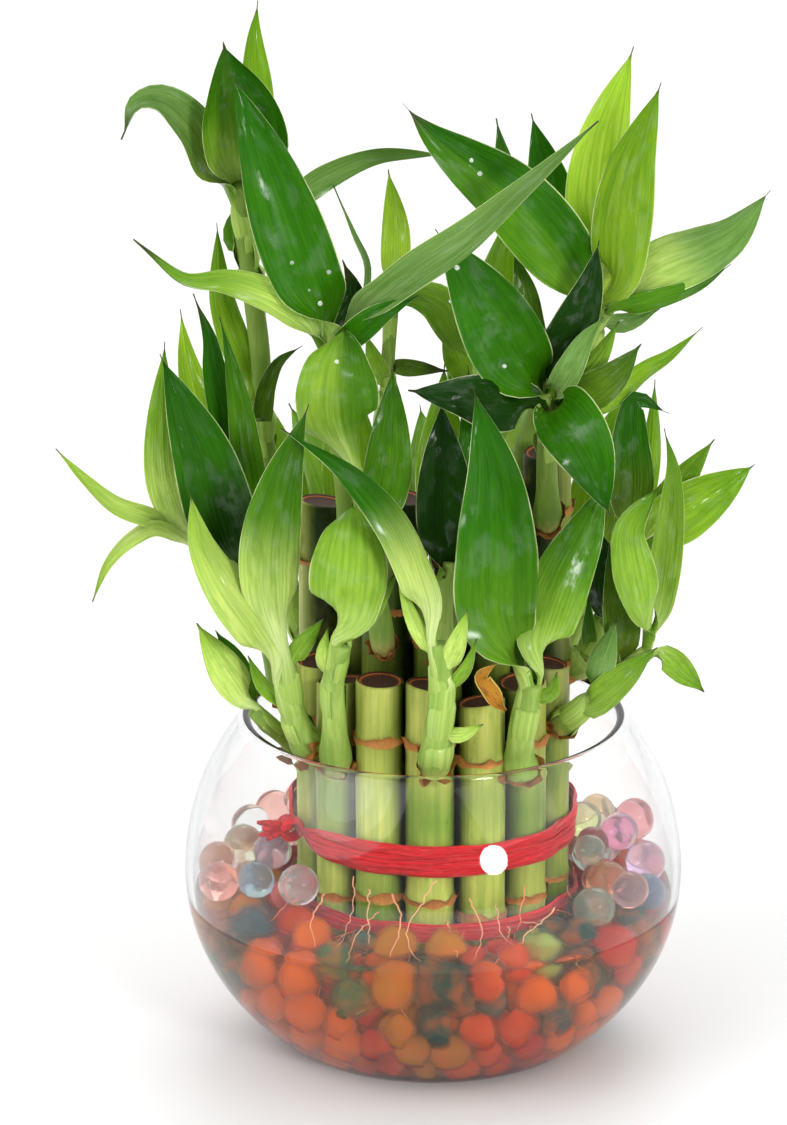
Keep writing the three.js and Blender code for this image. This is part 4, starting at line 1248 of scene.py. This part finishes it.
def cane_colour(ring, foot, height, phase, facing):
    """The colour of a cane at a height, with painted shade on the side that faces the bundle's middle and
    on the canes at the right.
    """
    light, deep = CANE_COLOURS[ring]
    tint = blend_colours(deep, light, 0.5 + 0.5 * math.sin(height * 0.16 + phase))
    if ring == "outer":
        tint = blend_colours(tint, CANE_TOP, 0.5 * smooth(60, 74, height))
    # painted shade: the canes at the right, away from the key lamps, are darker
    tint = blend_colours(tint, CANE_PAINTED_SHADE, 0.4 * smooth(10, 27, foot.x))
    # painted shade on the side of a cane that faces its neighbours
    return blend_colours(CANE_PAINTED_SHADE, tint, smooth(-0.1, 0.8, facing))


def cane_piece(ring, index, top):
    skin = Skin()
    foot = cane_foot((ring, index))
    own = random.random()
    tilt = Vector((random.uniform(-CUT_SLOPE, CUT_SLOPE), random.uniform(-CUT_SLOPE, CUT_SLOPE)))
    phase = random.uniform(0, 6.28)
    away = foot.normalized()
    sides = [(angle, Vector((math.cos(angle), math.sin(angle), 0))) for angle in circle(CANE_SIDES)]
    rows = []
    for height, radius, scar in cane_profile(top):
        share = (height - CANE_FOOT) / (top - CANE_FOOT)
        sloped = smooth(top - CUT_SLOPE_BELOW, top, height)
        row = []
        for angle, reach in sides:
            uneven = 1 + 0.012 * math.sin(3 * angle + phase + height * 0.05)
            slope = sloped * radius * (reach.x * tilt.x + reach.y * tilt.y)
            point = foot + reach * radius * uneven + Vector((0, 0, height + slope))
            tint = cane_colour(ring, foot, height, phase, reach.dot(away))
            row.append(skin.corner(point, tint, scar, share, own))
        rows.append(row)
    skin.rows(rows, 0)
    skin.face(rows[0][::-1], 0)
    last = rows[-1]
    for share, depth in CUT_END_ROWS:
        row = []
        for _, reach in sides:
            slope = CANE_RADIUS * share * (reach.x * tilt.x + reach.y * tilt.y)
            point = foot + reach * CANE_RADIUS * share + Vector((0, 0, top + slope - depth))
            row.append(skin.corner(point, across=share, own=own))
        skin.rows([last, row], 1)
        last = row
    skin.face(last, 1)
    for node in node_heights(top):
        if node > WATER_LEVEL + 2:
            place = foot + Vector((0, 0, node - 0.4))
            ragged_ring(skin, place, UP, NODE_RADIUS - 0.16, COLLAR_HEIGHT, 2, own, COLLAR_FLARE)
    skin.build(f"stalk_{ring}_{index + 1}", [CANE, CUT_END, PAPERY], [f"cane_{ring}_{index + 1}"], "cane")


def add_canes():
    for ring, tops in (("outer", OUTER_TOPS), ("inner", INNER_TOPS)):
        for index, top in enumerate(tops):
            cane_piece(ring, index, top)


# ---- bowl, water and beads ----


def bowl_radius(height, inset):
    half = (BOWL_DROP if height < BOWL_WAIST else BOWL_RADIUS) - inset
    share = (height - BOWL_WAIST) / half
    return (BOWL_RADIUS - inset) * math.sqrt(max(0.0, 1 - share * share))


def lathe(skin, profile):
    """A turned shape. Its profile is (radius, height) rows, and a radius of 0 makes one point."""
    rows = []
    for radius, height in profile:
        if radius == 0:
            rows.append([skin.corner(Vector((0, 0, height)))] * BOWL_SIDES)
            continue
        bearings = (360 * step / BOWL_SIDES for step in range(BOWL_SIDES))
        rows.append([skin.corner(around(radius, bearing, height)) for bearing in bearings])
    for lower, upper in zip(rows, rows[1:]):
        for index in range(BOWL_SIDES):
            after = (index + 1) % BOWL_SIDES
            ring = [lower[index], lower[after], upper[after], upper[index]]
            skin.face((c for k, c in enumerate(ring) if c not in ring[:k]), 0)


def wall(low, high, steps, inset):
    """Points of the bowl's wall from one height to another, set in by inset."""
    heights = [low + (high - low) * step / steps for step in range(steps + 1)]
    return [(bowl_radius(height, inset), height) for height in heights]


def add_bowl():
    skin = Skin()
    outside = wall(0.5, BOWL_RIM, WALL_STEPS, 0)
    inside = wall(BOWL_RIM, GLASS_FLOOR + 0.6, WALL_STEPS, GLASS)
    edge_out, edge_in = outside[-1][0], inside[0][0]
    middle, half = (edge_out + edge_in) / 2, (edge_out - edge_in) / 2
    lip = []
    for step in range(1, LIP_STEPS):
        angle = math.pi * step / LIP_STEPS
        lip.append((middle + half * math.cos(angle), BOWL_RIM + half * math.sin(angle)))
    foot, floor_edge = outside[0][0], inside[-1][0]
    profile = [(0, 0.5), (foot * 0.5, 0.4), (foot * 0.86, 0.0), (foot * 0.96, 0.1), *outside, *lip, *inside]
    profile += [(floor_edge * 0.93, GLASS_FLOOR + 0.1), (floor_edge * 0.5, GLASS_FLOOR), (0, GLASS_FLOOR)]
    lathe(skin, profile)
    skin.build("bowl", [GLASS_LOOK], ["glass_bowl"], "bowl_glass")


def add_water():
    skin = Skin()
    side = wall(GLASS_FLOOR + 0.5, WATER_LEVEL, 30, GLASS - 0.2)
    profile = [(0, GLASS_FLOOR - 0.2), (side[0][0] * 0.9, GLASS_FLOOR - 0.2), *side]
    profile += [(side[-1][0] - 1, WATER_LEVEL - 0.1), (0, WATER_LEVEL - 0.1)]
    lathe(skin, profile)
    skin.build("water", [WATER_LOOK], [], "water_beads")


def settled_beads():
    """Balls that have sunk into the bowl round the bundle, as (centre, radius)."""
    chance = np.random.default_rng(7)
    radius = chance.uniform(*BEAD_SIZES, BEAD_COUNT)
    bearing = chance.uniform(0, 2 * math.pi, BEAD_COUNT)
    reach = BEAD_START["reach"] * np.sqrt(chance.uniform(0, 1, BEAD_COUNT))
    height = chance.uniform(BEAD_START["low"], BEAD_START["high"], BEAD_COUNT)
    place = np.stack([reach * np.cos(bearing), reach * np.sin(bearing), height], 1)
    touching = radius[:, None] + radius[None]
    inside = GLASS + 1.0
    for turn in range(BEAD_TURNS):
        fall = BEAD_FALLS[0 if turn < BEAD_FAST_TURNS else 1]
        place[:, 1] += fall * BEAD_LEAN * np.clip(-place[:, 1] / 20, 0, 1)
        place[:, 2] -= fall
        for _ in range(2):
            apart = place[:, None] - place[None]
            gap = np.sqrt((apart**2).sum(2)) + np.eye(BEAD_COUNT) * 1e3
            push = np.clip(touching - gap, 0, None)
            place += (apart * (push / gap * 0.45)[..., None]).sum(1)
        # back over the floor and inside the wall
        place[:, 2] = np.maximum(place[:, 2], GLASS_FLOOR + 0.3 + radius)
        half = np.where(place[:, 2] < BOWL_WAIST, BOWL_DROP, BOWL_RADIUS) - inside
        share = np.clip((place[:, 2] - BOWL_WAIST) / half, -0.99, 0.99)
        room = (BOWL_RADIUS - inside) * np.sqrt(1 - share**2) - radius * 1.03
        out = np.linalg.norm(place[:, :2], axis=1)
        place[:, :2] *= np.minimum(1, room / np.maximum(out, 1e-6))[:, None]
        # out of the bundle: down if far inside it, and sideways if not
        out = np.linalg.norm(place[:, :2], axis=1)
        short =(place[:, 2] > CANE_FOOT - radius * 0.5) & (out < BUNDLE + radius)
        under = short & (out < BUNDLE * 0.8)
        place[under, 2] = CANE_FOOT - radius[under]
        beside = short & ~under
        place[beside, :2] *= ((BUNDLE + radius[beside]) / out[beside])[:, None]
    return [(Vector(centre), float(size)) for centre, size in zip(place, radius)]


def drawn_from(colours, chance):
    total = chance.uniform(0, sum(share for _, share in colours))
    for colour, share in colours:
        total -= share
        if total <= 0:
            return colour
    return colours[-1][0]


def ball(skin, centre, radius, tint, own, dent, rings=10, sides=16):
    """A gel ball, out of round by a share of its radius."""
    rows = []
    for ring in range(1, rings):
        lean = math.pi * ring / rings
        out, up = math.sin(lean), -math.cos(lean)
        row = []
        for angle in circle(sides):
            reach = Vector((out * math.cos(angle), out * math.sin(angle), up))
            wave = math.sin(3 * angle + own * 30) + math.sin(2 * angle + own * 50 + 3 * lean)
            uneven = 1 + dent * wave * out
            row.append(skin.corner(centre + reach * radius * uneven, tint, own=own))
        rows.append(row)
    skin.rows(rows, 0)
    for row, height, turn in ((rows[0], -radius, -1), (rows[-1], radius, 1)):
        pole = skin.corner(centre + Vector((0, 0, height)), tint, own=own)
        for step in range(sides):
            pair = (row[step], row[(step + 1) % sides])
            skin.face((*pair[::turn], pole), 0)


def add_beads():
    """The gel balls. Those under water press into each other, and share a colour with the nearest of some
    scattered points. Those over it are round and pale, and drawn one by one."""
    chance = random.Random(11)
    marks = [(spot(place), colour) for place, colour in MARKED_BEADS]
    patches = []
    for _ in range(PATCHES):
        place = around(chance.uniform(10, 52), chance.uniform(-180, 180), chance.uniform(6, WATER_LEVEL))
        patches.append((place, drawn_from(SUNK_COLOURS, chance)))
    sunk, wet = Skin(), Skin()
    for centre, radius in settled_beads():
        under_water = centre.z <= WATER_LEVEL + 0.5
        point, colour = min(marks, key=lambda mark: (mark[0] - centre).length)
        if (point - centre).length > MARK_REACH:
            if under_water:
                colour = min(patches, key=lambda patch: (patch[0] - centre).length)[1]
            else:
                colour = drawn_from(WET_COLOURS, chance)
        if under_water:
            ball(sunk, centre, radius * BEAD_SWELL, colour, chance.random(), BEAD_DENT)
        else:
            ball(wet, centre, radius, blend_colours(colour, WHITE, 0.3), chance.random(), 0.01)
    sunk.build("beads_under_water", [GEL_SUNK], ["bead_bed"], "water_beads")
    wet.build("beads_over_water", [GEL_WET], [], "water_beads")


# ---- ribbons and roots ----


def hull_radius(bearing):
    """How far out a ribbon pulled round the outer canes runs."""
    step = 360 / OUTER_RING["count"]
    off = (bearing - OUTER_RING["start"] + step / 2) % step - step / 2
    return OUTER_RING["radius"] * math.cos(math.radians(off)) + CANE_RADIUS + 0.25


def strand(skin, low, rise, width, knot, own):
    """One strand of ribbon, once round the bundle. A knot's height draws its two ends together."""
    rows = []
    phase = own * 40
    for index in range(RIBBON_STEPS + 1):
        share = index / RIBBON_STEPS
        bearing = KNOT_BEARING + 360 * share
        near = math.exp(-((min(share, 1 - share) / 0.045) ** 2)) if knot else 0
        height = low + rise * math.sin(2 * math.pi * share + phase) * 0.5
        height = height * (1 - near) + (knot or 0) * near
        reach = hull_radius(bearing) + 0.35 + 0.25 * math.sin(share * 60 + phase) + own * 0.7
        half = width / 2 * (1 - 0.55 * near) * (1 + 0.14 * math.sin(share * 37 + phase))
        lean = 0.5 * math.sin(share * 23 + phase)
        row = []
        for angle in circle(10):
            up, out = math.sin(angle) * half, math.cos(angle) * RIBBON_THICK
            fold = 0.3 * math.sin(math.sin(angle) * 5 + share * 16 + phase)
            point = around(reach + out + fold + up * lean * 0.2, bearing, height + up)
            row.append(skin.corner(point, across=math.sin(angle), along=share, own=own))
        rows.append(row)
    skin.solid(rows, 0)


def wrapped_knot(skin):
    """The knot: loops wound over the strands, and frayed ends that stand out from it."""
    chance = random.Random(5)
    out = around(1, KNOT_BEARING)
    side = UP.cross(out)
    centre = around(hull_radius(KNOT_BEARING) + 2.4, KNOT_BEARING, KNOT_HEIGHT)
    for index in range(KNOT_LOOPS):
        beside = index - (KNOT_LOOPS - 1) / 2
        lean = 0.5 * beside
        loop = []
        for step in range(LOOP_STEPS):
            angle = 2 * math.pi * step / (LOOP_STEPS - 1)
            reach = out * math.cos(angle) * 2.2 + UP * math.sin(angle) * (1.9 + 0.2 * index)
            loop.append(centre + side * beside * 0.9 + reach + side * math.sin(angle) * lean)
        radii = [0.95] * LOOP_STEPS
        tube(skin, loop, radii, 8, 0, [WHITE] * LOOP_STEPS, own=index * 0.2, squash=0.6)
    for index in range(KNOT_ENDS):
        rise = chance.uniform(-2.4, 3.0)
        reach = chance.uniform(4.6, 7.4)
        sway = chance.uniform(-1.6, 1.6)
        points = [centre, centre + out * 2.4 + Vector((0, 0, rise * 0.4)) + side * sway * 0.3]
        points.append(centre + out * reach + Vector((0, 0, rise)) + side * sway)
        line = evenly(through(points), END_STEPS)
        radii = [1.1 - 0.06 * step + 0.1 * math.sin(step * 2 + index) for step in range(END_STEPS)]
        tube(skin, line, radii, 6, 0, [WHITE] * END_STEPS, own=chance.random(), squash=0.25, twist=2)


def add_ribbons():
    upper = Skin()
    for index, low in enumerate(UPPER_STRANDS):
        strand(upper, low, 0.9 + 0.2 * index, UPPER_WIDTH, KNOT_HEIGHT, (index * 0.37) % 1)
    wrapped_knot(upper)
    upper.build("ribbon_strands", [RIBBON], ["ribbon_upper"], "ribbon")
    lower = Skin()
    for index, low in enumerate(LOWER_STRANDS):
        strand(lower, low, 0.7, LOWER_WIDTH, None, (index * 0.29 + 0.1) % 1)
    lower.build("ribbon_foot_strands", [RIBBON], ["ribbon_lower"], "ribbon")


def small_root(chance):
    """Places of a root that wanders out and down over the beads."""
    bearing = chance.uniform(-180, 180)
    points = [around(chance.uniform(29, 31), bearing, chance.uniform(30, 38))]
    reach = 31.0
    for _ in range(chance.randint(2, 4)):
        reach += chance.uniform(1.5, 4.5)
        bearing += chance.uniform(-9, 9)
        points.append(around(min(reach, 44), bearing, points[-1].z - chance.uniform(1, 5)))
    return points


def add_roots():
    chance = random.Random(3)
    skin = Skin()
    lines = [spots(row) for row in ROOTS]
    lines += [small_root(chance) for _ in range(SMALL_ROOTS)]
    for points in lines:
        line = evenly(through(points), ROOT_STEPS)
        for point in line[1:]:
            point += Vector([chance.uniform(-ROOT_WANDER, ROOT_WANDER) for _ in range(3)])
        size = chance.uniform(*ROOT_SIZES)
        radii = [size * (1 - 0.65 * step / (ROOT_STEPS - 1)) for step in range(ROOT_STEPS)]
        tint = blend_colours(ROOT_WARM, ROOT_PALE, chance.random())
        tube(skin, line, radii, 6, 0, [tint] * ROOT_STEPS, own=chance.random())
    skin.build("roots", [ROOT], [], "cane")


def add_drops():
    skin = Skin()
    for index, (across, up, back, size) in enumerate(DROPS):
        ball(skin, spot((across, up, back)), size, WHITE, index * 0.1, 0.01, rings=8, sides=10)
    skin.build("water_drops", [DROP], [], "bowl_glass")


# ---- stage ----


def add_floor():
    mesh = bpy.data.meshes.new("floor")
    quarters = ((-1, -1), (1, -1), (1, 1), (-1, 1))
    corners = [(across * FLOOR_HALF, back * FLOOR_HALF, 0) for across, back in quarters]
    mesh.from_pydata(corners, [], [(0, 1, 2, 3)])
    mesh.materials.append(floor_finish())
    placed("floor", mesh)


def add_lamp(name, place, aim, size, power, shape="SQUARE"):
    lamp = bpy.data.lights.new(name, "AREA")
    lamp.shape = shape
    lamp.size = size
    lamp.energy = power
    made = placed(name, lamp)
    made.location = place
    made.rotation_euler = (Vector(aim) - Vector(place)).to_track_quat("-Z", "Y").to_euler()


def mirrored(place, away):
    """Where a lamp stands that the bowl's belly mirrors at a place [across, up], and where it does."""
    ray = (Vector((place[0], 0, 0)) + CARD_UP * place[1] - EYE).normalized()
    to_middle = Vector((0, 0, BOWL_WAIST)) - EYE
    nearest = to_middle.dot(ray)
    reach = nearest - math.sqrt(BOWL_RADIUS**2 - to_middle.length_squared + nearest**2)
    point = EYE + ray * reach
    normal = (ray * reach - to_middle).normalized()
    return (point + ray.reflect(normal) * away) * MM, point * MM


def add_lamps():
    plant = (0, 0, 0.1)
    # three discs in line, so that the bowl mirrors them as a haze that fades to its edge
    for index, size in enumerate(HAZE_SIZES):
        place, _ = mirrored(HAZE_AT, LAMPS_AWAY + 5 * index)
        add_lamp(f"key_{index + 1}", place, plant, size, HAZE_POWER * size**2, "DISK")
    add_lamp("fill", mirrored(FILL_AT, LAMPS_AWAY)[0], plant, 1.6, 5)
    add_lamp("top_back", (0.2, 1.1, 1.3), plant, 0.9, 7)
    # a small round one, which the bowl mirrors as a white spot on the ribbon
    place, point = mirrored(GLINT_AT, GLINT_AWAY)
    add_lamp("round", place, point, 0.28, 5.4, "DISK")


def add_sky():
    """White where the eye sees it, and a light that is weaker from in front than from behind."""
    paint = Paint(bpy.data.worlds.new("studio"), "ShaderNodeOutputWorld")
    where = paint.node("ShaderNodeTexCoord", output="Generated")
    back = paint.node("ShaderNodeSeparateXYZ", None, {0: where}, output="Y")
    spread = {"Value": back, "From Min": -0.8, "From Max": 0.35, "To Min": 0.28, "To Max": 1.0}
    strength = paint.node("ShaderNodeMapRange", None, spread)
    sky = paint.node("ShaderNodeBackground", None, {"Color": WHITE, "Strength": strength})
    seen = paint.node("ShaderNodeBackground", None, {"Color": WHITE})
    ray = paint.node("ShaderNodeLightPath", output="Is Camera Ray")
    either = paint.node("ShaderNodeMixShader", None, {0: ray, 1: sky, 2: seen})
    bpy.context.scene.world = paint.finish(either)


def add_camera():
    view = bpy.data.cameras.new("view")
    view.sensor_fit = "VERTICAL"
    view.sensor_height = SENSOR
    view.lens = LENS
    view.clip_start = 0.05
    seat = placed("view", view)
    seat.location = EYE * MM
    seat.rotation_euler = (math.pi / 2 - EYE_TILT, 0, 0)
    bpy.context.scene.camera = seat


random.seed(4)
add_camera()
add_floor()
add_lamps()
add_sky()
add_bowl()
add_water()
add_beads()
add_canes()
add_shoots()
add_dry_leaf()
add_ribbons()
add_roots()
add_drops()
bpy.context.scene.view_settings.view_transform = "Standard"
